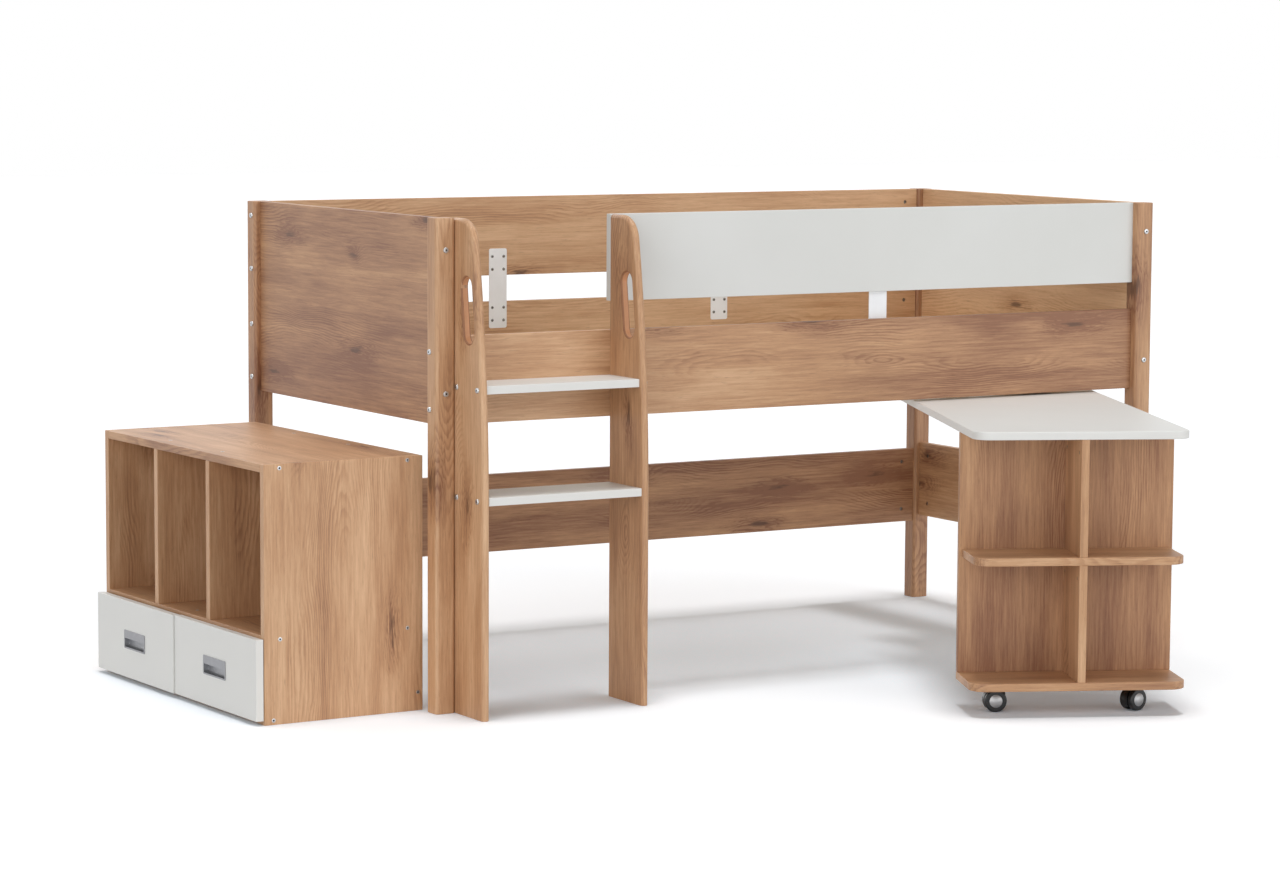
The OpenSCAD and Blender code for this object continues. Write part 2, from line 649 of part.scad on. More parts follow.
// The bottom shelf runs on under the panel, which stands on it
module desk_shelf_bottom() in_desk() difference() {
    translate([0, 0, castor_h]) desk_shelf(0, desk_shelf_d + board_t);
    at_desk_screws() screw_bore(desk_screw_l);
    at_castors() castor_screws() screw_bore(castor_screw_l);
}
module desk_divider(z) color(oak) in_desk() difference() {
    translate([desk_divider_x, desk_overhang + edge_r, z])
        board_z([board_t, desk_shelf_d - edge_r, desk_bay_h]);
    at_desk_fittings() translate([0, 0, -over]) cylinder(d = nut_d, h = nut_l + over);
    at_desk_screws() screw_bore(desk_screw_l);
}
module desk_divider_upper() desk_divider(desk_mid_z + board_t);
module desk_divider_lower() desk_divider(desk_floor_z);
module desk_fixings() color(steel) in_desk() {
    at_desk_fittings() translate([0, 0, 1]) cylinder(d = nut_d - 2 * skin, h = nut_l - 1);
    at_desk_screws() screw(desk_screw_l);
    at_castors() castor_screws() screw(castor_screw_l);
}

// ---------------------------------------------------------------- castors
// A castor's own frame: Z up its swivel axis from the floor, X along its trail, Y along its axle

mount_w = 42;
mount_t = 2;
mount_pitch = 31;
castor_screw_l = mount_t + 12;
pin_d = 7;
pin_l = 18;
axle_d = 6;
tyre_r = 3;
cap_d = wheel_d * 0.58;
cap_rim = 1.5;
cap_crown = 3.5;
hood_r = wheel_d / 2 + 1;
hood_top_z = castor_h - mount_t - run;
hood_floor_z = 9;
flange_z = wheel_d + 1.5;

module at_castors() {
    translate([castor_side, castor_front, 0]) rotate([0, 0, castor_left_turn]) children();
    translate([desk_w - castor_side, castor_front, 0]) rotate([0, 0, castor_right_turn]) children();
}
module at_left_castor() in_desk() translate([castor_side, castor_front, 0])
    rotate([0, 0, castor_left_turn]) children();
module at_right_castor() in_desk() translate([desk_w - castor_side, castor_front, 0])
    rotate([0, 0, castor_right_turn]) children();

module castor_screws() for (x = [-1, 1], y = [-1, 1])
    translate([x * mount_pitch / 2, y * mount_pitch / 2, castor_h - mount_t]) children();
module castor_plates() color(steel) in_desk() at_castors() difference() {
    union() {
        translate([-mount_w / 2, -mount_w / 2, castor_h - mount_t])
            linear_extrude(mount_t) rounded_rect([mount_w, mount_w], 5);
        translate([0, 0, castor_h - mount_t - pin_l]) cylinder(d = pin_d, h = pin_l);
    }
    castor_screws() screw_bore(castor_screw_l);
}
// The hood is a web between the wheels with a flange under the plate, and carries the axle
module hood() color(black) {
    difference() {
        union() {
            intersection() {
                translate([castor_trail, hood_w / 2, wheel_d / 2]) rotate([90, 0, 0])
                    cylinder(r = hood_r, h = hood_w);
                translate([-hood_r, -hood_w, hood_floor_z]) cube([3 * hood_r, 2 * hood_w, wheel_d]);
            }
            translate([-pin_d, -hood_w / 2, wheel_d / 2]) cube([castor_trail, hood_w, hood_top_z - wheel_d / 2]);
            translate([0, 0, flange_z]) cylinder(d = 30, h = hood_top_z - flange_z);
        }
        translate([0, 0, castor_h - mount_t - pin_l - 1]) cylinder(d = pin_d + 2 * skin, h = pin_l + 2);
        translate([castor_trail, 0, wheel_d / 2]) rotate([90, 0, 0])
            cylinder(d = axle_d + 2 * skin, h = hood_w + 2 * over, center = true);
    }
    translate([castor_trail, 0, wheel_d / 2]) rotate([90, 0, 0])
        cylinder(d = axle_d, h = hood_w + 2 * (wheel_w - cap_rim), center = true);
}
// Stands a wheel or its cap with Z along the axle, outwards; side 1 is the front wheel
module on_axle(side) translate([castor_trail, side * (hood_w / 2 + run), wheel_d / 2])
    rotate([-side * 90, 0, 0]) children();
module wheel() color(black) difference() {
    rotate_extrude() {
        square([wheel_d / 2 - tyre_r, wheel_w]);
        translate([0, tyre_r]) square([wheel_d / 2, wheel_w - 2 * tyre_r]);
        for (z = [tyre_r, wheel_w - tyre_r]) translate([wheel_d / 2 - tyre_r, z]) circle(r = tyre_r);
    }
    translate([0, 0, -over]) cylinder(d = axle_d + 2 * skin, h = wheel_w + 2 * over);
    translate([0, 0, wheel_w - cap_rim]) cylinder(d = cap_d, h = cap_rim + over);
}
// A thin domed cap, pressed into the outer face of a wheel
module cap() color(steel) translate([0, 0, wheel_w - cap_rim]) {
    cylinder(d = cap_d, h = cap_rim);
    dome_r = (pow(cap_d / 2, 2) + pow(cap_crown, 2)) / (2 * cap_crown);
    translate([0, 0, cap_rim]) intersection() {
        translate([0, 0, cap_crown - dome_r]) sphere(r = dome_r, $fn = 96);
        cylinder(d = cap_d, h = cap_crown);
    }
}
module castor_left_hood() at_left_castor() hood();
module castor_left_wheel_front() at_left_castor() on_axle(1) wheel();
module castor_left_wheel_back() at_left_castor() on_axle(-1) wheel();
module castor_left_cap_front() at_left_castor() on_axle(1) cap();
module castor_left_cap_back() at_left_castor() on_axle(-1) cap();
module castor_right_hood() at_right_castor() hood();
module castor_right_wheel_front() at_right_castor() on_axle(1) wheel();
module castor_right_wheel_back() at_right_castor() on_axle(-1) wheel();
module castor_right_cap_front() at_right_castor() on_axle(1) cap();
module castor_right_cap_back() at_right_castor() on_axle(-1) cap();

// ---------------------------------------------------------------- cabinet

cab_screw_l = board_t + 26;
cab_head_d = 9.5;
cab_head_h = 2.5;
cab_screw_in = 38;
front_rail_screw_in = front_rail_w / 2;
divider_ys = [for (i = [1, 2]) board_t + i * cubby_w + (i - 1) * board_t];
partition_y = board_t + bay_w;
// Screws into the ends of the lying boards, in from both sides, then down into the uprights
module at_side_screws() for (far = [0, 1]) {
    y = far * cabinet_w;
    into = [0, 1 - 2 * far, 0];
    for (x = [cab_screw_in, cabinet_d - cab_screw_in],
         z = [cabinet_h - board_t / 2, cubby_floor_z - board_t / 2])
        place([[x, y, z], into, [1, 0, 0]]) children();
    place([[front_rail_screw_in, y, cabinet_base_z + board_t / 2], into, [1, 0, 0]]) children();
    place([[inner_d - board_t / 2, y, cabinet_base_z + rear_rail_h / 2], into, [1, 0, 0]]) children();
}
module at_down_screws() {
    for (x = [cab_screw_in, cabinet_d - cab_screw_in], y = divider_ys)
        place([[x, y + board_t / 2, cabinet_h], [0, 0, -1], [0, 1, 0]]) children();
    for (x = [cab_screw_in, cabinet_d - 3 * cab_screw_in])
        place([[x, partition_y + board_t / 2, cubby_floor_z], [0, 0, -1], [0, 1, 0]]) children();
}
// The screws lie flush, in a cone cut into the board
module flush_screw() {
    cylinder(d1 = cab_head_d - 2 * skin, d2 = screw_d - 2 * skin, h = cab_head_h);
    cylinder(d = screw_d - 2 * skin, h = cab_screw_l);
}
module flush_bore() {
    translate([0, 0, -over]) cylinder(d = cab_head_d, h = over);
    cylinder(d1 = cab_head_d, d2 = screw_d, h = cab_head_h);
    cylinder(d = screw_d, h = cab_screw_l + run);
}
module cab_bores() {
    at_side_screws() flush_bore();
    at_down_screws() flush_bore();
}

module cabinet_side(y) color(oak) in_cabinet() difference() {
    translate([0, y, 0]) board_z([cabinet_d, board_t, cabinet_h]);
    cab_bores();
}
module cabinet_side_near() cabinet_side(0);
module cabinet_side_far() cabinet_side(cabinet_w - board_t);
module lying_board(x, z, depth) color(oak) in_cabinet() difference() {
    translate([x, board_t, z]) board_y([depth, cabinet_inner_w, board_t]);
    cab_bores();
}
module cabinet_top() lying_board(0, cabinet_h - board_t, inner_d);
module cabinet_shelf() lying_board(0, cubby_under_z, inner_d);
module cabinet_front_rail() lying_board(0, cabinet_base_z, front_rail_w);
module cabinet_rear_rail() color(oak) in_cabinet() difference() {
    translate([inner_d - board_t, board_t, cabinet_base_z]) board_y([board_t, cabinet_inner_w, rear_rail_h]);
    cab_bores();
}
module cabinet_dividers() color(oak) in_cabinet() difference() {
    for (y = divider_ys) translate([0, y, cubby_floor_z])
        board_z([inner_d, board_t, cabinet_h - board_t - cubby_floor_z]);
    cab_bores();
}
module cabinet_partition() color(oak) in_cabinet() difference() {
    translate([0, partition_y, drawer_base_z])
        board_z([inner_d - board_t, board_t, cubby_under_z - drawer_base_z]);
    cab_bores();
}
module cabinet_back() color(oak) in_cabinet()
    translate([inner_d, board_t, cubby_under_z]) cube([back_t, cabinet_inner_w, cabinet_h - cubby_under_z]);
module cabinet_screws() color(steel) in_cabinet() {
    at_side_screws() flush_screw();
    at_down_screws() flush_screw();
}

// ---------------------------------------------------------------- drawers

runner_t = 1.5;
runner_h = 30;
runner_back = 12;
bays = [board_t, partition_y + board_t];
// An angle on each wall of a bay: its foot reaches under the drawer side
module drawer_runners() color(white) in_cabinet() for (y = bays, wall = [0, 1])
    translate([runner_back, y + wall * bay_w, box_z - run - runner_t]) mirror([0, wall, 0]) {
        cube([box_l - runner_back, runner_t, runner_h]);
        cube([box_l - runner_back, runner_gap + box_t - 1, runner_t]);
    }

groove = 6;
bottom_t = 3;
bottom_up = 9;
box_play = 0.1;    // play of the drawer's back and bottom between its sides
// A drawer's own frame: X into the cabinet from the back of its front, Y from its near edge
module drawer_left_frame() in_cabinet() translate([-front_gap - left_open, 2 * front_gap + front_w, 0]) children();
module drawer_right_frame() in_cabinet() translate([-front_gap, front_gap, 0]) children();
// Distance from a front's near edge to the outside of its box; the two fronts differ by hand
box_y_right = bays[0] + runner_gap - front_gap;
box_y_left = bays[1] + runner_gap - 2 * front_gap - front_w;

module drawer_front() color(white) difference() {
    translate([-board_t, 0, front_z]) board_y([board_t, front_w, front_h]);
    translate([-board_t - over, front_w / 2, front_mid_z]) pull_box(pull_d + over + run, run);
}
module drawer_box(y0) color(nylon) translate([0, y0, box_z]) {
    for (side = [0, 1]) translate([0, side * box_w, 0]) mirror([0, side, 0]) difference() {
        cube([box_l, box_t, box_h]);
        translate([-over, box_t - groove, bottom_up - box_play])
            cube([box_l + 2 * over, groove + over, bottom_t + 2 * box_play]);
    }
    translate([box_l - box_t, box_t + box_play, bottom_up + bottom_t + box_play])
        cube([box_t, box_w - 2 * (box_t + box_play), box_h - bottom_up - bottom_t - box_play]);
    translate([0, box_t - groove + box_play, bottom_up])
        cube([box_l, box_w - 2 * (box_t - groove + box_play), bottom_t]);
}

// The finger pull is a shallow metal cup: a flange on the face, an open mouth below a lip,
// and a pocket behind that curves up to the back of the lip
pull_wall = 1.2;
pull_rim = 2.5;
pull_face = 1.5;
lip_h = pull_h * 0.36;
module pull_box(depth, gap) translate([0, -pull_w / 2 + pull_rim - gap, -pull_h / 2 + pull_rim - gap])
    cube([depth, pull_w - 2 * pull_rim + 2 * gap, pull_h - 2 * pull_rim + 2 * gap]);
module pull_pocket() {
    depth = pull_d - pull_wall;
    high = pull_h - 2 * pull_rim - 2 * pull_wall;
    curve = depth - 1;
    square([depth - curve, high]);
    translate([0, curve]) square([depth, high - curve]);
    intersection() {
        translate([depth - curve, curve]) circle(r = curve);
        square([depth, curve]);
    }
}
module pull() color(steel) {
    inner_w = pull_w - 2 * pull_rim - 2 * pull_wall;
    inner_z = -pull_h / 2 + pull_rim + pull_wall;
    mouth_h = pull_h - 2 * pull_rim - 2 * pull_wall - lip_h;
    difference() {
        union() {
            pull_box(pull_d, 0);
            translate([-pull_face, 0, 0]) rotate([90, 0, 90]) translate([-pull_w / 2, -pull_h / 2])
                linear_extrude(pull_face) rounded_rect([pull_w, pull_h], 3);
        }
        translate([0, inner_w / 2, inner_z]) rotate([90, 0, 0]) linear_extrude(inner_w) pull_pocket();
        translate([-pull_face - over, -inner_w / 2, inner_z])
            cube([pull_face + 2 * over, inner_w, mouth_h]);
    }
}
module on_front() translate([-board_t, front_w / 2, front_mid_z]) children();

module drawer_left_front() drawer_left_frame() drawer_front();
module drawer_left_box() drawer_left_frame() drawer_box(box_y_left);
module drawer_left_pull() drawer_left_frame() on_front() pull();
module drawer_right_front() drawer_right_frame() drawer_front();
module drawer_right_box() drawer_right_frame() drawer_box(box_y_right);
module drawer_right_pull() drawer_right_frame() on_front() pull();

// ---------------------------------------------------------------- nodes

post_front_left();
post_front_right();
post_back_left();
post_back_right();
end_panel_left();
end_panel_right();
end_rail_right();
front_rail();
guard_rail();
back_rail_top();
back_rail_middle();
back_rail_low();
slat_battens();
slats();
joining_plates();
wood_screws();
frame_bolts();
barrel_nuts();
ladder_side_left();
ladder_side_right();
ladder_tread_low();
ladder_tread_high();
pivot_bearer();
pivot_bolt();
pivot_bush();
desk_top();
desk_panel();
desk_shelf_middle();
desk_shelf_bottom();
desk_divider_upper();
desk_divider_lower();
desk_fixings();
castor_plates();
castor_left_hood();
castor_left_wheel_front();
castor_left_wheel_back();
castor_left_cap_front();
castor_left_cap_back();
castor_right_hood();
castor_right_wheel_front();
castor_right_wheel_back();
castor_right_cap_front();
castor_right_cap_back();
cabinet_side_near();
cabinet_side_far();
cabinet_top();
cabinet_shelf();
cabinet_dividers();
cabinet_partition();
cabinet_front_rail();
cabinet_rear_rail();
cabinet_back();
cabinet_screws();
drawer_runners();
drawer_left_front();
drawer_left_box();
drawer_left_pull();
drawer_right_front();
drawer_right_box();
drawer_right_pull();
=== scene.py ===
"""Cabin bed with a ladder, a desk that swings out and a cabinet that slides in.

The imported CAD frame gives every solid. This script dresses it: each board gets its laminate, each
fitting its metal or plastic, and the parts whose edges, recesses and heads are finer than the CAD
solids are made here and stand in for them.
"""

import logging
import math
from collections.abc import Callable, Sequence
from dataclasses import dataclass
from enum import Enum
from functools import partial, reduce

import bmesh
import bpy
from mathutils import Matrix, Vector


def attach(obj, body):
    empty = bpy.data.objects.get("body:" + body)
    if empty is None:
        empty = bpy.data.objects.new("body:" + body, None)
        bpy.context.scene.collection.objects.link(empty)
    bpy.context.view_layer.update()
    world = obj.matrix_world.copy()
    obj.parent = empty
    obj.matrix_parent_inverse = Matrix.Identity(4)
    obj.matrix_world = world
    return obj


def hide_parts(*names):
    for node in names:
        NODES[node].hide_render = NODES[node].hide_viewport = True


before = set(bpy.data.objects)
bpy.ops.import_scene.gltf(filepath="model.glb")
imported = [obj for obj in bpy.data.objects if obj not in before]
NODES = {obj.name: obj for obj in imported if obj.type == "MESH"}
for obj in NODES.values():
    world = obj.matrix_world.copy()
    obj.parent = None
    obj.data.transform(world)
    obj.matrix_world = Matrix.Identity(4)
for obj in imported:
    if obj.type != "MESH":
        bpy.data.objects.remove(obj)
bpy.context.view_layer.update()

LOG = logging.getLogger("cabin_bed")
MM = 0.001
SHARP = math.radians(40.0)
DESK_TURN = math.radians(-24.5)
CABINET_TURN = math.radians(1.4)
CABINET_CORNER = Vector((-1.376, -0.428, 0.0))
# Nearly all values of soft noise lie between these
NOISE_ENDS = (0.3, 0.7)
JITTER_SEED = 7

# Sheet number and tone of each board: real boards are cut from different sheets and differ in tone. The tones
# also hold painted light and shade, set board by board: lighter on boards that the lamps leave dim, such as
# the middle back rail, and darker where a lamp's sheen falls, as on the left end panel
SHEET_AND_LIGHT_TONES = {
    "post_front_left": (1, 0.07),
    "post_front_right": (2, -0.12),
    "post_back_left": (3, -0.12),
    "post_back_right": (4, -0.32),
    "end_panel_left": (11, -0.24),
    "end_panel_right": (12, 0.38),
    "end_rail_right": (13, -0.04),
    "front_rail": (21, -0.12),
    "back_rail_top": (26, 0.2),
    "back_rail_middle": (23, 0.24),
    "back_rail_low": (24, -0.28),
    "ladder_side_left": (31, 0.10),
    "ladder_side_right": (34, -0.04),
    "desk_panel": (41, -0.24),
    "desk_divider_upper": (42, -0.07),
    "desk_divider_lower": (43, -0.07),
    "desk_shelf_middle": (44, -0.08),
    "desk_shelf_bottom": (45, -0.08),
    "cabinet_side_near": (51, 0.1),
    "cabinet_side_far": (52, 0.05),
    "cabinet_dividers": (53, 0.05),
    "cabinet_partition": (54, 0.0),
    "cabinet_back": (55, 0.0),
    "cabinet_top": (61, 0.0),
    "cabinet_shelf": (62, 0.0),
    "cabinet_front_rail": (63, 0.0),
    "cabinet_rear_rail": (64, 0.0),
}
# How much a board's tone rises over one metre along its grain, where it does
DRIFTS = {"front_rail": -0.32, "desk_panel": 0.5}

Profile = Sequence[tuple[float, float]]
Point = tuple[float, float, float]
# A point and a direction in millimetres, and the same in metres
Spot = tuple[Point, Point]
Seat = tuple[Vector, Vector]
Socket = bpy.types.NodeSocket
Tree = bpy.types.NodeTree


class Grain(Enum):
    """The direction in which the grain of a board runs, before the board's own turn."""

    ALONG_X = 0
    ALONG_Y = 1
    ALONG_Z = 2

    def scale(self, along: float, across: float) -> list[float]:
        """The scale for a pattern whose widest streaks are so long and wide, in metres."""
        return [1 / (along if axis == self.value else across) for axis in range(3)]


class Recess(Enum):
    """The shape cut into a screw's head for its driver."""

    HEXAGON = "hexagon"
    CROSS = "cross"


# ------------------------------------------------------------------ small tools


def linear(code: str) -> tuple[float, float, float, float]:
    """Turns an sRGB hex colour into a linear one.

    Args:
        code: Six hex digits after a hash sign.

    Returns:
        Linear red, green and blue, and an alpha of 1.
    """
    parts = [int(code[i : i + 2], 16) / 255 for i in (1, 3, 5)]
    red, green, blue = (c / 12.92 if c <= 0.04045 else ((c + 0.055) / 1.055) ** 2.4 for c in parts)
    return red, green, blue, 1.0


def add(tree: Tree, kind: str, inputs: dict | None = None, **settings) -> bpy.types.Node:
    """Adds a node, sets its properties, and fills or links its inputs.

    Args:
        tree: The node tree that gets the node.
        kind: The node's type name.
        inputs: Values or output sockets by input name or number.
        **settings: Properties of the node; stops fills a colour ramp.

    Returns:
        The new node.
    """
    node = tree.nodes.new(kind)
    stops = settings.pop("stops", None)
    for name, value in settings.items():
        setattr(node, name, value)
    if stops:
        elements = node.color_ramp.elements
        while len(elements) < len(stops):
            elements.new(1.0)
        for element, (place, colour) in zip(elements, stops):
            element.position = place
            element.color = colour
    for key, value in (inputs or {}).items():
        if isinstance(value, Socket):
            tree.links.new(value, node.inputs[key])
        else:
            node.inputs[key].default_value = value
    return node


def new_material(name: str) -> tuple[bpy.types.Material, Tree]:
    """Makes an empty node material.

    Args:
        name: The material's name.

    Returns:
        The material and its emptied node tree.
    """
    material = bpy.data.materials.new(name)
    material.use_nodes = True
    material.node_tree.nodes.clear()
    return material, material.node_tree


def surface(tree: Tree, values: dict) -> None:
    """Ends a material in a Principled shader that has these inputs."""
    shader = add(tree, "ShaderNodeBsdfPrincipled", values)
    add(tree, "ShaderNodeOutputMaterial", {"Surface": shader.outputs["BSDF"]})


def object_place(tree: Tree) -> Socket:
    """A point's place in its piece, in metres."""
    return add(tree, "ShaderNodeTexCoord").outputs["Object"]


def mapped(tree: Tree, place: Socket, **change: Sequence[float]) -> Socket:
    """A place with another Scale, Rotation or Location."""
    return add(tree, "ShaderNodeMapping", {"Vector": place, **change}).outputs[0]


def noise(tree: Tree, place: Socket, scale: float, detail: float, **more: float) -> Socket:
    """Soft noise, about 0.5 on average; detail counts its octaves of finer noise."""
    inputs = {"Vector": place, "Scale": scale, "Detail": detail, **more}
    return add(tree, "ShaderNodeTexNoise", inputs).outputs[0]


def reckon(tree: Tree, operation: str, *values: Socket | float) -> Socket:
    """One step of arithmetic."""
    return add(tree, "ShaderNodeMath", dict(enumerate(values)), operation=operation).outputs[0]


def spread_over(
    tree: Tree, value: Socket, least: float, most: float, start: float = 0.0, end: float = 1.0
) -> Socket:
    """Spreads a value that runs from start to end, from least to most."""
    return add(tree, "ShaderNodeMapRange", {0: value, 1: start, 2: end, 3: least, 4: most}).outputs[0]


def ease(tree: Tree, value: Socket, start: float, end: float) -> Socket:
    """A soft step from 0 at start to 1 at end."""
    inputs = {0: value, 1: start, 2: end, 3: 0.0, 4: 1.0}
    return add(tree, "ShaderNodeMapRange", inputs, interpolation_type="SMOOTHSTEP").outputs[0]


def blend(tree: Tree, share: Socket, first: str | Socket, second: str) -> Socket:
    """Mixes two colours; share says how much of the second shows."""
    inputs = {"Factor": share, 6: linear(first) if isinstance(first, str) else first, 7: linear(second)}
    return add(tree, "ShaderNodeMix", inputs, data_type="RGBA").outputs[2]


def ramp(tree: Tree, value: Socket, *stops: tuple[float, str]) -> Socket:
    """Colours that follow a value, from stop to stop."""
    colours = [(place, linear(code)) for place, code in stops]
    return add(tree, "ShaderNodeValToRGB", {0: value}, stops=colours).outputs[0]


def bump(tree: Tree, height: Socket, strength: float, depth_mm: float) -> Socket:
    """A normal that follows a height whose whole range is depth_mm deep."""
    inputs = {"Height": height, "Strength": strength, "Distance": depth_mm * MM}
    return add(tree, "ShaderNodeBump", inputs).outputs[0]


def seen_by(tree: Tree, *rays: str) -> Socket:
    """Is 1 for rays of these kinds, by Light Path's names for them, and 0 for others."""
    path = add(tree, "ShaderNodeLightPath").outputs
    return reduce(partial(reckon, tree, "MAXIMUM"), [path[ray] for ray in rays])


# ------------------------------------------------------------------ finishes


@dataclass(frozen=True)
class Board:
    """How a board lies: its middle and the axis of its thickness, both before the board's own turn."""

    middle: Point
    thin: int

    @classmethod
    def of_node(cls, node: str, turn: float) -> "Board":
        """Reads a board from a CAD node.

        Args:
            node: The node's name.
            turn: The board's turn about Z in radians.

        Returns:
            The board.
        """
        back = Matrix.Rotation(-turn, 3, "Z")
        points = [back @ vertex.co for vertex in NODES[node].data.vertices]
        spans = [(min(p[i] for p in points), max(p[i] for p in points)) for i in range(3)]
        sizes = [high - low for low, high in spans]
        middle = tuple((low + high) / 2 for low, high in spans)
        return cls(middle, sizes.index(min(sizes)))


@dataclass(frozen=True)
class OakLaminate:
    """Oak printed laminate on board, pressed against a satin plate.

    The print gives pale tan wood with fine straight fibres, arches of yearly rings here and there,
    and a few dark knots; the plate gives one even satin sheen over all of it, with hardly any relief.
    """

    grain: Grain
    seed: float
    board: Board
    turn: float = 0.0
    tone: float = 0.0
    drift: float = 0.0
    light: str = "#E0BA94"
    mid: str = "#BE926C"
    dark: str = "#8A5E43"
    knot: str = "#4F3424"
    ring_mm: float = 6.5
    figure: float = 0.24
    sheet_step: float = 3.71
    knot_cells: tuple[float, float] = (2.4, 8.3)
    knot_free: float = 0.64
    knot_ends: tuple[float, float] = (0.36, 0.085)
    heart_sway: float = 0.14
    heart_rise: float = 0.55
    ragged_mm: tuple[float, float] = (60.0, 9.0)
    sway_mm: tuple[float, float] = (620.0, 200.0)
    wave_mm: tuple[float, float] = (75.0, 12.0)
    patch_mm: tuple[float, float] = (520.0, 110.0)
    band_mm: tuple[float, float] = (900.0, 62.0)
    cloud_mm: tuple[float, float] = (300.0, 85.0)
    fibre_mm: tuple[float, float] = (120.0, 5.5)
    pore_mm: tuple[float, float] = (24.0, 1.6)

    def _streaks(
        self, tree: Tree, place: Socket, size: tuple[float, float], detail: float, rough: float = 0.5
    ) -> Socket:
        """Noise along X at ``place``; ``size`` is the widest streaks' length and width in millimetres."""
        scale = Grain.ALONG_X.scale(size[0] * MM, size[1] * MM)
        return noise(tree, mapped(tree, place, Scale=scale), 1.0, detail, Roughness=rough)

    def _grain_place(self, tree: Tree) -> tuple[Socket, Socket, Socket, Socket]:
        """Coordinates of the board's own sheet.

        Args:
            tree: The material's node tree.

        Returns:
            The sheet's place with X along the grain, then its three parts: along, across and into the board.
        """
        back = Matrix.Rotation(-self.turn, 3, "Z").to_euler()
        shift = tuple(-value for value in self.board.middle)
        turned = mapped(tree, object_place(tree), Rotation=back, Location=shift)
        axes = add(tree, "ShaderNodeSeparateXYZ", {0: turned}).outputs
        along, thin = self.grain.value, self.board.thin
        moved = reckon(tree, "ADD", axes[along], self.seed * self.sheet_step)
        parts = {0: moved, 1: axes[3 - along - thin], 2: axes[thin]}
        place = add(tree, "ShaderNodeCombineXYZ", parts).outputs[0]
        split = add(tree, "ShaderNodeSeparateXYZ", {0: place}).outputs
        return place, split[0], split[1], split[2]

    def material(self) -> bpy.types.Material:
        """Builds the laminate for one board.

        Returns:
            The material.
        """
        name = f"oak melamine laminate, {self.grain.name.lower()}, sheet {self.seed:g}"
        material, tree = new_material(name)
        place, along, across, depth = self._grain_place(tree)
        plus, minus, times = (partial(reckon, tree, kind) for kind in ("ADD", "SUBTRACT", "MULTIPLY"))
        streaks, soft = partial(self._streaks, tree, place), partial(ease, tree)

        # Knots: about one cell in three of 420 by 120 mm holds one, and the rings swing round it
        long_way, wide_way = self.knot_cells
        cells = {"Vector": mapped(tree, place, Scale=(long_way, wide_way, wide_way)), "Scale": 1.0}
        cell = add(tree, "ShaderNodeTexVoronoi", cells, voronoi_dimensions="2D").outputs
        chance = add(tree, "ShaderNodeSeparateXYZ", {0: cell["Color"]}).outputs[0]
        edge = {"voronoi_dimensions": "2D", "feature": "DISTANCE_TO_EDGE"}
        border = add(tree, "ShaderNodeTexVoronoi", cells, **edge).outputs["Distance"]
        held = times(soft(border, 0.0, 0.16), reckon(tree, "GREATER_THAN", chance, self.knot_free))
        reach = plus(cell["Distance"], times(minus(streaks(self.ragged_mm, 3.0, 0.6), 0.5), 0.30))
        near, core = (times(held, soft(reach, end, 0.0)) for end in self.knot_ends)

        # Rings: the sheet's middle follows the heart of the trunk, which rises and sinks along it,
        # so the rings meet the surface in long arches there and run straight towards the edges
        side = plus(across, times(minus(streaks(self.sway_mm, 2.0), 0.5), self.heart_sway))
        heart_at = add(tree, "ShaderNodeCombineXYZ", {0: times(along, 1.3), 1: self.seed}).outputs[0]
        sunk = plus(depth, times(minus(noise(tree, heart_at, 1.0, 1.0), 0.5), self.heart_rise))
        radius = reckon(tree, "SQRT", plus(times(side, side), times(sunk, sunk)))
        wave = times(minus(streaks(self.wave_mm, 3.0, 0.6), 0.5), 1.3)
        layer = plus(plus(times(radius, 1 / (self.ring_mm * MM)), wave), times(near, 2.5))
        saw = reckon(tree, "FRACT", layer)
        line = times(soft(saw, 0.25, 0.8), soft(saw, 1.0, 0.85))
        shown = reckon(tree, "MAXIMUM", soft(streaks(self.patch_mm, 1.0), 0.48, 0.66), times(near, 1.5))

        # Tone: wide soft bands, and fibres from 7 mm down to half a millimetre, the finest that show. Here and
        # below, a number that multiplies a part says how strongly it shows
        band = minus(streaks(self.band_mm, 2.0), 0.5)
        cloud = minus(streaks(self.cloud_mm, 3.0), 0.5)
        fibre = streaks(self.fibre_mm, 4.0, 0.75)
        end = times(minus(along, self.seed * self.sheet_step), self.drift)
        tone = plus(0.53 + self.tone, plus(end, times(band, 0.8)))
        tone = plus(plus(tone, times(cloud, 0.6)), minus(fibre, 0.5))
        tone = minus(tone, times(times(line, shown), self.figure))
        tone = minus(tone, times(near, 0.26))
        wood = ramp(tree, tone, (0.0, self.dark), (0.5, self.mid), (1.0, self.light))

        # Pores: dashes 24 mm long; real ones are 0.3 mm wide and would not show, so they are wider
        pore = soft(streaks(self.pore_mm, 1.0), 0.62, 0.76)
        deep = reckon(tree, "MAXIMUM", times(pore, 0.22), times(core, 0.72))
        colour = blend(tree, deep, wood, self.knot)
        sheen = spread_over(tree, fibre, 0.40, 0.50)
        relief = bump(tree, minus(times(fibre, 0.4), pore), 0.12, 0.4)
        surface(tree, {"Base Color": colour, "Roughness": sheen, "IOR": 1.5, "Normal": relief})
        return material


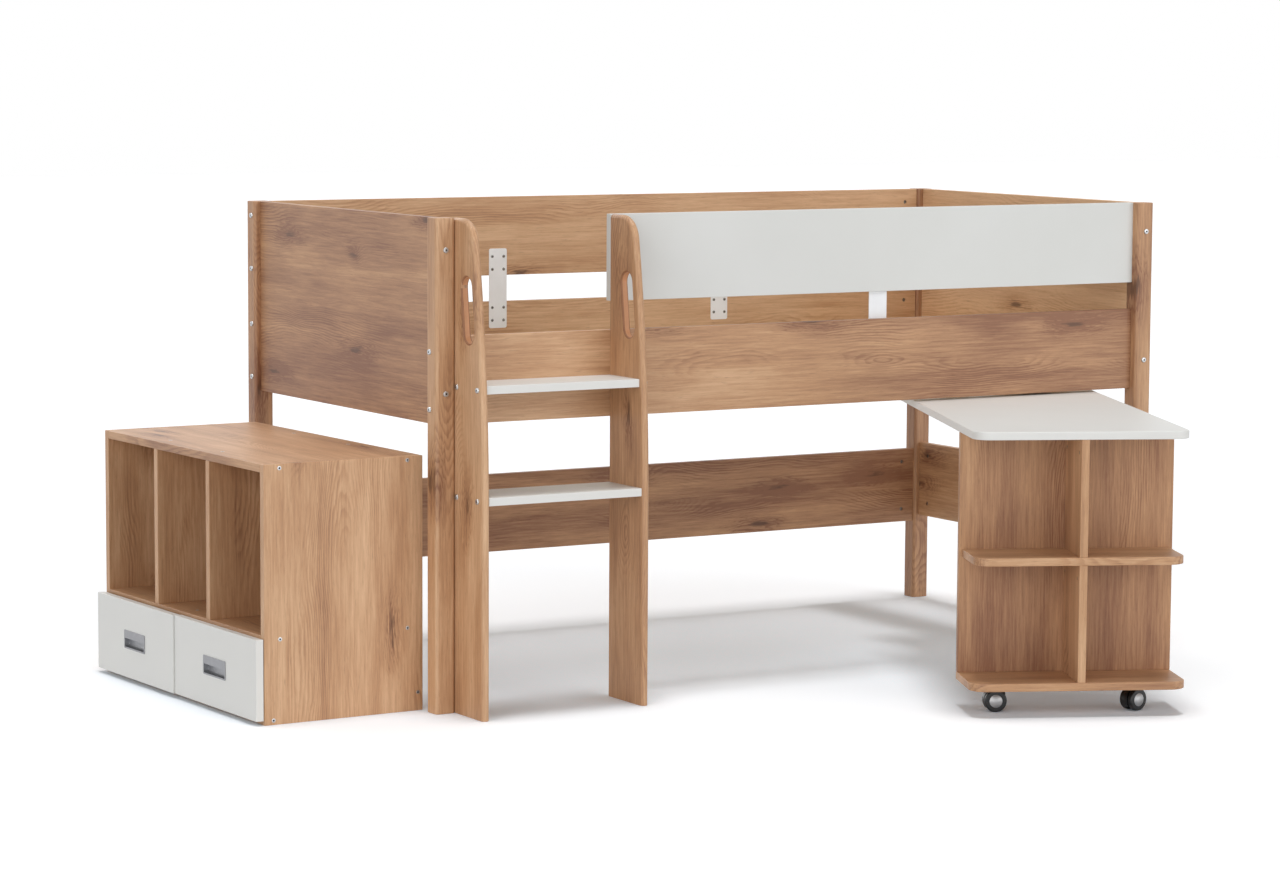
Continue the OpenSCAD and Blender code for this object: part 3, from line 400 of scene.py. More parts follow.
@dataclass(frozen=True)
class PlainSheet:
    """A sheet, foil, coat or moulding of one colour with a fine uneven skin.

    The skin gives the eye slow drifts of tone and a soft broken highlight in place of flat paint.
    """

    name: str
    colour: str
    shade: str
    drift_mm: float
    grit_mm: float
    rough: tuple[float, float]
    relief: float = 0.1
    metallic: float = 0.0
    ior: float = 1.5

    def material(self) -> bpy.types.Material:
        """Builds the finish.

        Returns:
            The material.
        """
        material, tree = new_material(self.name)
        place = object_place(tree)
        drift = noise(tree, place, 1 / (self.drift_mm * MM), 3.0)
        grit = noise(tree, place, 1 / (self.grit_mm * MM), 2.0)
        shaded = spread_over(tree, drift, 0.0, 1.0, *NOISE_ENDS)
        values = {
            "Base Color": blend(tree, shaded, self.colour, self.shade),
            "Roughness": spread_over(tree, grit, *self.rough, *NOISE_ENDS),
            "Metallic": self.metallic,
            "Normal": bump(tree, grit, self.relief, self.grit_mm * 0.3),
        }
        if not self.metallic:
            values["IOR"] = self.ior
        surface(tree, values)
        return material


@dataclass(frozen=True)
class PlanedPine:
    """Planed softwood, left bare: yellow-white early wood between narrow honey-brown late wood."""

    grain: Grain
    seed: float

    def material(self) -> bpy.types.Material:
        """Builds the softwood.

        Returns:
            The material.
        """
        material, tree = new_material(f"planed pine, bare, {self.grain.name.lower()}, {self.seed:g}")
        place = object_place(tree)
        # Late wood lines lie about 5 mm apart and run on for most of a slat
        shift = (self.seed, self.seed * 2, 0)
        lined = mapped(tree, place, Scale=self.grain.scale(0.9, 0.012), Location=shift)
        rings = noise(tree, lined, 1.0, 3.0, Distortion=0.4)
        fibre = noise(tree, mapped(tree, place, Scale=self.grain.scale(0.08, 0.0016)), 1.0, 2.0)
        ringed = ramp(tree, rings, (0.36, "#E6D2AD"), (0.52, "#DABF92"), (0.62, "#BF9A68"))
        colour = blend(tree, fibre, ringed, "#E8D9B8")
        relief = bump(tree, fibre, 0.2, 0.3)
        surface(tree, {"Base Color": colour, "Roughness": 0.6, "IOR": 1.5, "Normal": relief})
        return material


@dataclass(frozen=True)
class BrushedMetal:
    """Plated metal whose skin keeps fine lines from brushing, so highlights spread across them."""

    name: str
    colour: str
    shade: str
    rough: float
    line_mm: float
    across: Grain

    def material(self) -> bpy.types.Material:
        """Builds the metal.

        Returns:
            The material.
        """
        material, tree = new_material(self.name)
        place = object_place(tree)
        lines = noise(tree, mapped(tree, place, Scale=self.across.scale(self.line_mm * MM, 0.05)), 1.0, 2.0)
        colour = blend(tree, noise(tree, place, 60.0, 2.0), self.colour, self.shade)
        rough = spread_over(tree, lines, self.rough * 0.75, self.rough * 1.3)
        relief = bump(tree, lines, 0.08, 0.1)
        surface(tree, {"Base Color": colour, "Metallic": 1.0, "Roughness": rough, "Normal": relief})
        return material


# A plain finish: name, colour and shade, millimetres from drift to drift and from grain to grain of its
# grit, roughness and relief. A brushed one: name, colour and shade, roughness, width of its lines, axis
WHITE_LAMINATE = PlainSheet(
    "warm white melamine laminate, pressed", "#E2E2DF", "#DFDFDC", 260.0, 1.6, (0.40, 0.46), 0.02
)
GREY_WHITE_LAMINATE = PlainSheet(
    "grey-white melamine laminate, pressed", "#DCDDDB", "#D7D8D5", 320.0, 1.6, (0.40, 0.48), 0.05
)
WHITE_FOIL = PlainSheet("white foil on fibreboard", "#E6E6E2", "#DFDFDA", 120.0, 1.2, (0.42, 0.5), 0.05)
# Whiter and bluer than an off-white coat: painted light, which lifts the joining plates out of the shade
# inside the frame and cancels the warm light that the wood throws back
POWDER_COAT = PlainSheet("off-white powder coat on steel", "#F8FAFD", "#F2F4F7", 40.0, 0.9, (0.44, 0.54), 0.2)
ROUTED_WALL = PlainSheet("routed slot wall, edge foil", "#C88E62", "#B98056", 30.0, 1.5, (0.42, 0.5), 0.1)
# The slot's rim is darker than its wall: partly a darker routed edge, partly painted shade along the rim
ROUTED_RIM_AND_SHADE = PlainSheet(
    "routed slot rim, stained fibreboard", "#9E6E4C", "#8C5F41", 18.0, 1.0, (0.5, 0.6), 0.2
)
BLACK_MOULDING = PlainSheet(
    "black nylon, moulded", "#070708", "#0C0C0D", 12.0, 0.7, (0.30, 0.42), 0.15, ior=1.53
)
WHITE_NYLON = PlainSheet(
    "white nylon, moulded", "#E6E4DC", "#DDDBD2", 12.0, 0.7, (0.35, 0.45), 0.15, ior=1.53
)
DULL_CHROME = PlainSheet(
    "chrome plate on plastic, dulled by wear",
    "#B4B4B5",
    "#A8A9AA",
    9.0,
    2.5,
    (0.44, 0.50),
    0.02,
    metallic=1.0,
)
ZINC_PLATE = PlainSheet(
    "bright zinc plate on steel", "#C9CBCC", "#B4B6B8", 6.0, 0.8, (0.26, 0.38), 0.1, metallic=1.0
)
DARK_STEEL = PlainSheet(
    "zinc-nickel plate, dulled", "#8E8C88", "#77746F", 5.0, 0.8, (0.34, 0.46), 0.1, metallic=1.0
)
# Painted shade: a dark colour in a driver's socket stands for the shade that falls into the recess
SOCKET_PAINTED_SHADE = PlainSheet(
    "plain steel in a driver's socket", "#3A3836", "#2C2A28", 3.0, 0.6, (0.5, 0.6), 0.1, metallic=0.6
)
CUP_INSIDE = BrushedMetal(
    "satin chrome plate inside a cup, cast skin", "#A4A5A8", "#929396", 0.44, 0.8, Grain.ALONG_Z
)
SATIN_CHROME = BrushedMetal(
    "satin chrome plate on zinc casting", "#9A9A9D", "#89898C", 0.30, 0.5, Grain.ALONG_Z
)


# ------------------------------------------------------------------ meshes


def mesh_of(shape: bmesh.types.BMesh, name: str) -> bpy.types.Mesh:
    """Turns a shape into a mesh.

    Args:
        shape: The shape, which is freed.
        name: The mesh's name.

    Returns:
        The mesh.
    """
    mesh = bpy.data.meshes.new(name)
    shape.to_mesh(mesh)
    shape.free()
    return mesh


def link(name: str, mesh: bpy.types.Mesh) -> bpy.types.Object:
    """Puts a mesh into the scene.

    Args:
        name: Name of the object.
        mesh: Its mesh.

    Returns:
        The object, at the origin.
    """
    piece = bpy.data.objects.new(name, mesh)
    bpy.context.scene.collection.objects.link(piece)
    return piece


def smooth_by_angle(mesh: bpy.types.Mesh) -> None:
    """Shades a mesh smooth, apart from its sharp edges."""
    mesh.shade_smooth()
    mesh.set_sharp_from_angle(angle=SHARP)


def bake_modifiers(piece: bpy.types.Object) -> None:
    """Turns what an object's modifiers make into its plain mesh, and removes the modifiers.

    Args:
        piece: The object.
    """
    bpy.context.view_layer.update()
    depsgraph = bpy.context.evaluated_depsgraph_get()
    plain = bpy.data.meshes.new_from_object(piece.evaluated_get(depsgraph), depsgraph=depsgraph)
    piece.modifiers.clear()
    piece.data = plain


def settle(piece: bpy.types.Object, body: str, replaced: Sequence[str] = ()) -> bpy.types.Object:
    """Joins a finished piece to the frame.

    Args:
        piece: The piece.
        body: The CAD body that carries it.
        replaced: CAD nodes that it stands for.

    Returns:
        The piece.
    """
    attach(piece, body)
    if replaced:
        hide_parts(*replaced)
    LOG.info("piece %s: %d faces on %s", piece.name, len(piece.data.polygons), body)
    return piece


def dress(nodes: Sequence[str], material: bpy.types.Material) -> None:
    """Gives CAD nodes whose shape is right a finish.

    Args:
        nodes: Names of the nodes.
        material: The finish.
    """
    for node in nodes:
        mesh = NODES[node].data
        mesh.materials.clear()
        mesh.materials.append(material)
        LOG.info("node %s: %s", node, material.name)


def oak(node: str, grain: Grain, turn: float = 0.0) -> bpy.types.Material:
    """Makes the laminate of one CAD node's board, which is turned by ``turn`` radians about Z."""
    sheet, tone = SHEET_AND_LIGHT_TONES[node]
    return OakLaminate(grain, sheet, Board.of_node(node, turn), turn, tone, DRIFTS.get(node, 0.0)).material()


def outline_edges(shape: bmesh.types.BMesh, least: float = 0.03) -> list[bmesh.types.BMEdge]:
    """Finds the sharp edges of a shape's outline and leaves out the rims of its small bores.

    Args:
        shape: The shape.
        least: Smallest size of a run of edges that counts as outline, in metres.

    Returns:
        The edges.
    """
    sharp = {e for e in shape.edges if len(e.link_faces) == 2 and e.calc_face_angle(0) > SHARP}
    kept: list[bmesh.types.BMEdge] = []
    while sharp:
        run, queue = [], [sharp.pop()]
        while queue:
            edge = queue.pop()
            run.append(edge)
            for vertex in edge.verts:
                for other in vertex.link_edges:
                    if other in sharp:
                        sharp.remove(other)
                        queue.append(other)
        points = [vertex.co for edge in run for vertex in edge.verts]
        spans = [max(p[i] for p in points) - min(p[i] for p in points) for i in range(3)]
        if max(spans) > least:
            kept += run
    return kept


def edged(
    node: str,
    body: str,
    material: bpy.types.Material,
    radius: float = 1.0,
    steps: int = 3,
    flat: float = 1.0,
    weld: float = 0.001,
) -> bpy.types.Object:
    """Makes a copy of a CAD node with rounded edges, which stands for the node.

    Args:
        node: The CAD node.
        body: The body that carries it.
        material: Its finish.
        radius: Radius of the edges in millimetres.
        steps: Segments round an edge.
        flat: Angle in degrees up to which neighbouring facets are one flat face.
        weld: Distance in millimetres up to which corners are one.

    Returns:
        The piece.
    """
    mesh = NODES[node].data.copy()
    shape = bmesh.new()
    shape.from_mesh(mesh)
    bmesh.ops.remove_doubles(shape, verts=shape.verts, dist=weld * MM)
    # Where two sweeps meet, welding leaves walls inside the board: all their corners are on crowded edges
    crowded = {vertex for edge in shape.edges if len(edge.link_faces) > 2 for vertex in edge.verts}
    walls = [face for face in shape.faces if all(vertex in crowded for vertex in face.verts)]
    bmesh.ops.delete(shape, geom=walls, context="FACES")
    bmesh.ops.holes_fill(shape, edges=[edge for edge in shape.edges if edge.is_boundary])
    bmesh.ops.dissolve_limit(shape, angle_limit=math.radians(flat), verts=shape.verts, edges=shape.edges)
    bmesh.ops.bevel(
        shape,
        geom=outline_edges(shape),
        offset=radius * MM,
        offset_type="OFFSET",
        segments=steps,
        profile=0.5,
        affect="EDGES",
        clamp_overlap=True,
    )
    shape.to_mesh(mesh)
    shape.free()
    mesh.materials.clear()
    mesh.materials.append(material)
    smooth_by_angle(mesh)
    piece = link(f"{node}_edged", mesh)
    # The large faces decide the shading, so they stay flat and only their edges turn
    weighted = piece.modifiers.new("flat faces", "WEIGHTED_NORMAL")
    weighted.mode = "FACE_AREA"
    weighted.weight = 100
    weighted.keep_sharp = True
    bake_modifiers(piece)
    return settle(piece, body, [node])


def refinish(
    piece: bpy.types.Object, material: bpy.types.Material, chosen: Callable[[Vector, Vector], bool]
) -> None:
    """Gives some faces of a piece a finish of their own.

    Args:
        piece: The piece.
        material: The finish.
        chosen: Says of a face's middle and normal whether it gets the finish.
    """
    piece.data.materials.append(material)
    index = len(piece.data.materials) - 1
    count = 0
    for face in piece.data.polygons:
        if chosen(face.center, face.normal):
            face.material_index = index
            count += 1
    LOG.info("%s: %d faces get %s", piece.name, count, material.name)


def hexagon_radius(across_flats: float) -> Callable[[float], float]:
    """The outline of a hexagon as a radius for each angle."""
    return lambda angle: across_flats / 2 / math.cos((angle + math.pi / 6) % (math.pi / 3) - math.pi / 6)


def cross_radius(span: float, arm: float) -> Callable[[float], float]:
    """The outline of a cross with four arms as a radius for each angle.

    Args:
        span: Size over the arms.
        arm: Width of an arm.

    Returns:
        The radius as a function of the angle.
    """
    corner = arm * 0.7

    def radius(angle: float) -> float:
        """Radius of the cross at one angle."""
        off = abs((angle + math.pi / 4) % (math.pi / 2) - math.pi / 4)
        return min(span / 2 / math.cos(off), max(arm / 2 / max(math.sin(off), 1e-6), corner))

    return radius


@dataclass(frozen=True)
class Fastener:
    """A screw or bolt: a turned head with a driver's recess, on a plain shank along +Z.

    The head's seat lies at height 0 and the head stands towards -Z. Sizes are in millimetres.
    """

    name: str
    head: Profile
    recess: Recess
    recess_size: float
    recess_depth: float
    shank_d: float
    length: float
    segments: int = 24
    arm_share: float = 0.26
    taper: float = 0.72
    mouth_depth: float = 0.15
    mouth_flare: tuple[float, float] = (1.04, 0.08)

    def _recess_radius(self) -> Callable[[float], float]:
        """The recess's outline.

        Returns:
            The radius as a function of the angle.
        """
        size = self.recess_size
        hexagon = self.recess is Recess.HEXAGON
        return hexagon_radius(size) if hexagon else cross_radius(size, size * self.arm_share)

    def mesh(self) -> bpy.types.Mesh:
        """Builds the fastener once, for Geometry Nodes to repeat.

        Returns:
            Its mesh in metres.
        """
        shape = bmesh.new()
        outline = self._recess_radius()
        top = self.head[0][1]
        wider, more = self.mouth_flare
        layers: list[tuple[Callable[[float], float], float]] = [
            (lambda angle: outline(angle) * self.taper, top + self.recess_depth),
            (outline, top + self.mouth_depth),
            (lambda angle: outline(angle) * wider + more, top),
        ]
        layers += [(lambda angle, r=r: r, z) for r, z in self.head]
        layers += [(lambda angle: self.shank_d / 2, z) for z in (0.0, self.length)]
        rings: list[list[bmesh.types.BMVert]] = []
        for radius, height in layers:
            ring = []
            for i in range(self.segments):
                angle = 2 * math.pi * i / self.segments
                r = radius(angle)
                point = (r * math.cos(angle) * MM, r * math.sin(angle) * MM, height * MM)
                ring.append(shape.verts.new(point))
            rings.append(ring)
        # Faces of the driver's recess are marked, so that they can be given painted shade
        inside = shape.faces.layers.int.new("recess")
        for layer, (low, high) in enumerate(zip(rings, rings[1:])):
            for i in range(self.segments):
                j = (i + 1) % self.segments
                face = shape.faces.new((low[i], low[j], high[j], high[i]))
                face[inside] = int(layer == 0)
        shape.faces.new(rings[0])[inside] = 1
        shape.faces.new(rings[-1])
        bmesh.ops.recalc_face_normals(shape, faces=shape.faces)
        mesh = mesh_of(shape, self.name)
        smooth_by_angle(mesh)
        return mesh

    def set_in(
        self, places: Sequence[Seat], plate: PlainSheet, jitter: float, body: str, node: str
    ) -> None:
        """Sets one fastener into each place, all as one piece, with painted shade in its recess.

        Args:
            places: Seat and direction of each fastener, in metres.
            plate: The fasteners' finish.
            jitter: Largest turn of a fastener about its axis in radians.
            body: The body that carries them.
            node: The CAD node that they stand for.
        """
        repeater = Repeater(f"{self.name}_row")
        piece = repeater.spread(self.mesh(), places, plate.material(), SOCKET_PAINTED_SHADE.material(), jitter=jitter)
        settle(piece, body, [node])


@dataclass(frozen=True)
class Repeater:
    """Geometry Nodes that set one shape on every point of a list, turned and stretched to suit."""

    name: str

    def _tree(self) -> tuple[Tree, dict[str, str]]:
        """Builds the node tree.

        Returns:
            The tree and the identifier of each named input.
        """
        tree = bpy.data.node_groups.new(self.name, "GeometryNodeTree")
        face = tree.interface
        face.new_socket("Geometry", in_out="OUTPUT", socket_type="NodeSocketGeometry")
        sockets = {}
        for label, kind in (
            ("Geometry", "NodeSocketGeometry"),
            ("Shape", "NodeSocketObject"),
            ("Stretch", "NodeSocketVector"),
            ("Turn Jitter", "NodeSocketFloat"),
            ("Finish", "NodeSocketMaterial"),
            ("Recess Finish", "NodeSocketMaterial"),
        ):
            sockets[label] = face.new_socket(label, in_out="INPUT", socket_type=kind).identifier

        def step(kind: str, inputs: dict, output: int = 0, **settings: str) -> Socket:
            """Adds a node and gives back one of its outputs."""
            return add(tree, kind, inputs, **settings).outputs[output]

        given = add(tree, "NodeGroupInput").outputs
        piece = add(tree, "GeometryNodeObjectInfo", {"Object": given["Shape"]}).outputs["Geometry"]
        turn = step("GeometryNodeInputNamedAttribute", {"Name": "turn"}, data_type="FLOAT_VECTOR")
        draw = {2: 0.0, 3: given["Turn Jitter"], "Seed": JITTER_SEED}
        chance = step("FunctionNodeRandomValue", draw, 1, data_type="FLOAT")
        spin = step("ShaderNodeCombineXYZ", {"Z": chance})
        stood = step("FunctionNodeEulerToRotation", {0: turn})
        both = {"Rotation": stood, "Rotate By": spin}
        spun = step("FunctionNodeRotateRotation", both, rotation_space="LOCAL")
        dots = {"Points": given["Geometry"], "Instance": piece, "Rotation": spun, "Scale": given["Stretch"]}
        copies = step("GeometryNodeInstanceOnPoints", dots)
        real = step("GeometryNodeRealizeInstances", {"Geometry": copies})
        finished = step("GeometryNodeSetMaterial", {"Geometry": real, "Material": given["Finish"]})
        inside = step("GeometryNodeInputNamedAttribute", {"Name": "recess"}, data_type="INT")
        sunk = {"Geometry": finished, "Selection": inside, "Material": given["Recess Finish"]}
        add(tree, "NodeGroupOutput", {0: step("GeometryNodeSetMaterial", sunk)})
        return tree, sockets

    def spread(
        self,
        shape: bpy.types.Mesh,
        places: Sequence[Seat],
        finish: bpy.types.Material,
        recess_painted_shade: bpy.types.Material | None = None,
        stretch: tuple[float, float, float] = (1.0, 1.0, 1.0),
        jitter: float = 0.0,
    ) -> bpy.types.Object:
        """Sets the shape on each place and turns the result into one plain mesh.

        Args:
            shape: The mesh to repeat, its axis along +Z.
            places: Point and direction of each copy, in metres.
            finish: The copies' material.
            recess_painted_shade: Material of the faces marked as a driver's recess.
            stretch: Scale of a copy along its own axes.
            jitter: Largest turn of a copy about its axis in radians.

        Returns:
            The piece, at the origin.
        """
        dots = bpy.data.meshes.new(self.name + "_points")
        dots.from_pydata([tuple(point) for point, _ in places], [], [])
        turns = dots.attributes.new("turn", "FLOAT_VECTOR", "POINT")
        for i, (_, direction) in enumerate(places):
            turns.data[i].vector = direction.to_track_quat("Z", "Y").to_euler()
        carrier = link(self.name, dots)
        template = link(self.name + "_template", shape)
        tree, sockets = self._tree()
        modifier = carrier.modifiers.new("repeat", "NODES")
        modifier.node_group = tree
        modifier[sockets["Shape"]] = template
        modifier[sockets["Stretch"]] = stretch
        modifier[sockets["Turn Jitter"]] = jitter
        modifier[sockets["Finish"]] = finish
        # The faces of a driver's recess get their own material, which paints the shade in it
        modifier[sockets["Recess Finish"]] = recess_painted_shade or finish
        bake_modifiers(carrier)
        bpy.data.objects.remove(template)
        return carrier


def seats(spots: Sequence[Spot]) -> list[Seat]:
    """Turns points and directions in millimetres into vectors, with the points in metres."""
    return [(Vector(point) * MM, Vector(way)) for point, way in spots]


# ------------------------------------------------------------------ sub-assemblies


@dataclass(frozen=True)
class BedFrame:
    """Posts, end panels, rails, slats, joining plates and the bolts and screws that hold them.

    Sizes are in millimetres, in the CAD frame.
    """

    half_l: float = 990.0
    half_w: float = 490.0
    long_mid_y: float = 460.5
    end_mid_x: float = 966.0
    under_z: float = 640.0
    guard_z: float = 900.0
    back_z: float = 207.0
    end_rail_z: float = 223.0
    rail_rows: tuple[float, float] = (34.0, 161.0)
    panel_rows: tuple[float, float] = (710.0, 1025.0)
    ladder_mids: tuple[float, float] = (-933.0, -529.0)
    ladder_faces: tuple[float, float] = (-942.0, -520.0)
    ladder_row_in: float = 20.0
    tread_mids: tuple[float, float] = (482.0, 725.0)
    tread_bolt_ys: tuple[float, float] = (-592.5, -497.0)
    bolt_head_h: float = 3.5
    rail_inside_y: float = 451.5
    plate_mids: tuple[tuple[float, int], ...] = ((-324.5, 1), (324.5, 1), (202.0, -1))
    plate_mid_z: float = 867.5
    plate_thick: float = 2.0
    plate_columns: tuple[float, float] = (-16.0, 16.0)
    plate_rows: tuple[float, ...] = (-79.5, -47.5, 47.5, 79.5)
    batten_l: float = 1878.0
    batten_w: float = 20.0
    batten_mid_z: float = 677.0
    batten_screws: int = 6
    pivot_x: float = 679.0
    bearer_screw_off: float = 25.0
    slat_size: tuple[float, float, float] = (70.0, 897.0, 18.0)
    slat_edge: float = 2.5
    slat_top_z: float = 710.0
    slat_count: int = 13

    def dress_boards(self) -> None:
        """Gives each board its own sheet of laminate."""
        vertical = ("post_front_left", "post_front_right", "post_back_left", "post_back_right")
        across = ("end_panel_left", "end_panel_right", "end_rail_right")
        lying = ("front_rail", "back_rail_top", "back_rail_middle", "back_rail_low")
        for names, grain in ((vertical, Grain.ALONG_Z), (across, Grain.ALONG_Y), (lying, Grain.ALONG_X)):
            for name in names:
                edged(name, "bed_frame", oak(name, grain))
        edged("guard_rail", "bed_frame", GREY_WHITE_LAMINATE.material())
        dress(["slat_battens"], PlanedPine(Grain.ALONG_X, 1.0).material())
        dress(["pivot_bearer"], PlanedPine(Grain.ALONG_Y, 2.0).material())
        dress(["barrel_nuts", "pivot_bolt"], DARK_STEEL.material())

    def _rows(self, *rails: float, closer: float = 0.0) -> list[float]:
        """Heights of the two bolts at each rail's end, from the rails' lower edges, moved closer together."""
        low, high = self.rail_rows
        return [height for rail in rails for height in (rail + low + closer, rail + high - closer)]

    def bolt_places(self) -> list[Seat]:
        """Works out where every frame bolt's head seats and which way the bolt points.

        Returns:
            Seat and direction of each bolt, in metres.
        """
        end, rail_y, sides = self.half_l, self.long_mid_y, (-1, 1)
        spots: list[Spot] = [((end, -rail_y, z), (-1, 0, 0)) for z in self._rows(self.under_z, self.guard_z)]
        spots += [((-end, -rail_y, z), (1, 0, 0)) for z in self._rows(self.under_z)]
        for z in self._rows(self.under_z, self.guard_z, self.back_z):
            spots += [((side * end, rail_y, z), (-side, 0, 0)) for side in sides]
        right_rows = (*self.panel_rows, *self._rows(self.end_rail_z))
        for x, rows in ((-self.end_mid_x, self.panel_rows), (self.end_mid_x, right_rows)):
            spots += [((x, side * self.half_w, z), (0, -side, 0)) for z in rows for side in sides]
        left_face, right_face = self.ladder_faces
        for z in self.tread_mids:
            for y in self.tread_bolt_ys:
                spots += [((left_face, y, z), (1, 0, 0)), ((right_face, y, z), (-1, 0, 0))]
        inner = -self.rail_inside_y - self.bolt_head_h
        for rail, mids in ((self.under_z, self.ladder_mids), (self.guard_z, self.ladder_mids[1:])):
            rows = self._rows(rail, closer=self.ladder_row_in)
            spots += [((x, inner, z), (0, -1, 0)) for z in rows for x in mids]
        return seats(spots)

    def make_bolts(self) -> None:
        """Makes the 44 frame bolts with their hexagon sockets."""
        bolt = Fastener(
            "frame_bolt",
            head=((5.0, -3.5), (5.5, -3.42), (5.95, -3.05), (6.4, -0.8), (6.5, -0.3), (6.5, 0.0)),
            recess=Recess.HEXAGON,
            recess_size=4.0,
            recess_depth=2.3,
            shank_d=6.0,
            length=60.0,
        )
        bolt.set_in(self.bolt_places(), ZINC_PLATE, 1.0, "bed_frame", "frame_bolts")

    def screw_places(self) -> list[Seat]:
        """Works out where the wood screws of plates, battens and bearer seat.

        Returns:
            Seat and direction of each screw, in metres.
        """
        spots: list[Spot] = []
        plate_y = self.rail_inside_y - self.plate_thick
        plate_zs = [self.plate_mid_z + row for row in self.plate_rows]
        for x, way in self.plate_mids:
            for dx in self.plate_columns:
                spots += [((x + dx, way * plate_y, z), (0, way, 0)) for z in plate_zs]
        batten_y = self.rail_inside_y - self.batten_w
        for i in range(self.batten_screws):
            x = self.batten_l * (i + 0.5) / self.batten_screws - self.batten_l / 2
            spots += [((x, way * batten_y, self.batten_mid_z), (0, way, 0)) for way in (-1, 1)]
        bearer_y = self.rail_inside_y - self.batten_w / 2
        for dx in (-self.bearer_screw_off, self.bearer_screw_off):
            spots += [((self.pivot_x + dx, y, self.under_z), (0, 0, 1)) for y in (-bearer_y, bearer_y)]
        return seats(spots)

    def make_screws(self) -> None:
        """Makes the wood screws with their domed cross-recess heads."""
        screw = Fastener(
            "wood_screw",
            head=((2.4, -1.5), (2.9, -1.36), (3.4, -0.95), (3.72, -0.45), (3.8, 0.0)),
            recess=Recess.CROSS,
            recess_size=3.6,
            recess_depth=1.2,
            shank_d=3.9,
            length=12.0,
        )
        screw.set_in(self.screw_places(), DARK_STEEL, 1.5, "bed_frame", "wood_screws")

    def make_slats(self) -> None:
        """Makes the row of slats: planed boards with eased edges, evenly spread."""
        width, _, thick = self.slat_size
        shape = bmesh.new()
        bmesh.ops.create_cube(shape, size=1.0)
        bmesh.ops.scale(shape, vec=tuple(size * MM for size in self.slat_size), verts=shape.verts)
        edges = {"offset": self.slat_edge * MM, "segments": 3, "profile": 0.5, "affect": "EDGES"}
        bmesh.ops.bevel(shape, geom=shape.edges[:], **edges)
        mesh = mesh_of(shape, "slat")
        smooth_by_angle(mesh)
        span = self.batten_l - width
        xs = [span * i / (self.slat_count - 1) - span / 2 for i in range(self.slat_count)]
        spots = [((x, 0, self.slat_top_z - thick / 2), (0, 0, 1)) for x in xs]
        piece = Repeater("slat_row").spread(mesh, seats(spots), PlanedPine(Grain.ALONG_Y, 5.0).material())
        settle(piece, "bed_frame", ["slats"])

    def build(self) -> None:
        """Builds and dresses the bed frame."""
        self.dress_boards()
        self.make_bolts()
        self.make_screws()
        self.make_slats()
        edged("joining_plates", "bed_frame", POWDER_COAT.material(), 0.5, 2)


@dataclass(frozen=True)
class Ladder:
    """Two leaning sides with hand slots, and two treads between them. Sizes are in millimetres."""

    sides: tuple[str, ...] = ("ladder_side_left", "ladder_side_right")
    treads: tuple[str, ...] = ("ladder_tread_low", "ladder_tread_high")
    slot_z: float = 896.0
    slot_reach: float = 80.0
    slot_half: float = 31.0
    wall_turn: float = 0.12
    rim_turn: float = 0.995

    def _in_slot(
        self, piece: bpy.types.Object, least: float, most: float
    ) -> Callable[[Vector, Vector], bool]:
        """Tells the faces of the hand slot from the rest of a ladder side.

        Args:
            piece: The ladder side.
            least: Least turn of a face towards the board's faces, from 0 across the board to 1.
            most: Most turn of it.

        Returns:
            A test of a face's middle and normal.
        """
        level, reach = self.slot_z * MM, self.slot_reach * MM

        def middle_at(height: float) -> float:
            """The middle of the leaning side at one height."""
            beside = [v.co.y for v in piece.data.vertices if abs(v.co.z - height) < reach / 4]
            return (min(beside) + max(beside)) / 2

        low, high = middle_at(level - reach), middle_at(level + reach)

        def chosen(place: Vector, normal: Vector) -> bool:
            """Picks faces near the slot that look inwards.

            Args:
                place: The face's middle.
                normal: Its normal.

            Returns:
                Whether the face is of the slot.
            """
            rise = place.z - level
            off = place.y - (low + (high - low) * (rise + reach) / (2 * reach))
            near = abs(rise) < reach and abs(off) < self.slot_half * MM
            return near and off * normal.y + rise * normal.z < 0 and least <= abs(normal.x) < most

        return chosen

    def build(self) -> None:
        """Builds and dresses the ladder."""
        # The slot's walls get their edge foil; its rim gets a darker colour that is partly a darker routed
        # edge and partly painted shade
        wall, rim = ROUTED_WALL.material(), ROUTED_RIM_AND_SHADE.material()
        for side in self.sides:
            # The lean is so wide an arc that its facets turn by half a degree each, and they stay apart
            piece = edged(side, "bed_frame", oak(side, Grain.ALONG_Z), flat=0.05, weld=0.25)
            refinish(piece, wall, self._in_slot(piece, 0.0, self.wall_turn))
            refinish(piece, rim, self._in_slot(piece, self.wall_turn, self.rim_turn))
        white = WHITE_LAMINATE.material()
        for tread in self.treads:
            edged(tread, "bed_frame", white)


@dataclass(frozen=True)
class Desk:
    """The swing-out desk: its top, its stand of open shelves and its pivot bush."""

    edge_mm: float = 2.0

    def build(self) -> None:
        """Builds and dresses the desk."""
        for name in ("desk_panel", "desk_divider_upper", "desk_divider_lower"):
            edged(name, "desk", oak(name, Grain.ALONG_Z, DESK_TURN))
        for name in ("desk_shelf_middle", "desk_shelf_bottom"):
            edged(name, "desk", oak(name, Grain.ALONG_X, DESK_TURN), self.edge_mm)
        edged("desk_top", "desk", WHITE_LAMINATE.material(), self.edge_mm)
        dress(["pivot_bush"], WHITE_NYLON.material())
        dress(["castor_plates"], ZINC_PLATE.material())
        dress(["desk_fixings"], DARK_STEEL.material())


@dataclass(frozen=True)
class Castor:
    """One twin-wheel castor: a hood and two wheels with chromed caps."""

    side: str

    def build(self) -> None:
        """Dresses the castor."""
        black = BLACK_MOULDING.material()
        chrome = DULL_CHROME.material()
        dress([f"castor_{self.side}_hood"], black)
        for wheel in ("front", "back"):
            dress([f"castor_{self.side}_wheel_{wheel}"], black)
            dress([f"castor_{self.side}_cap_{wheel}"], chrome)


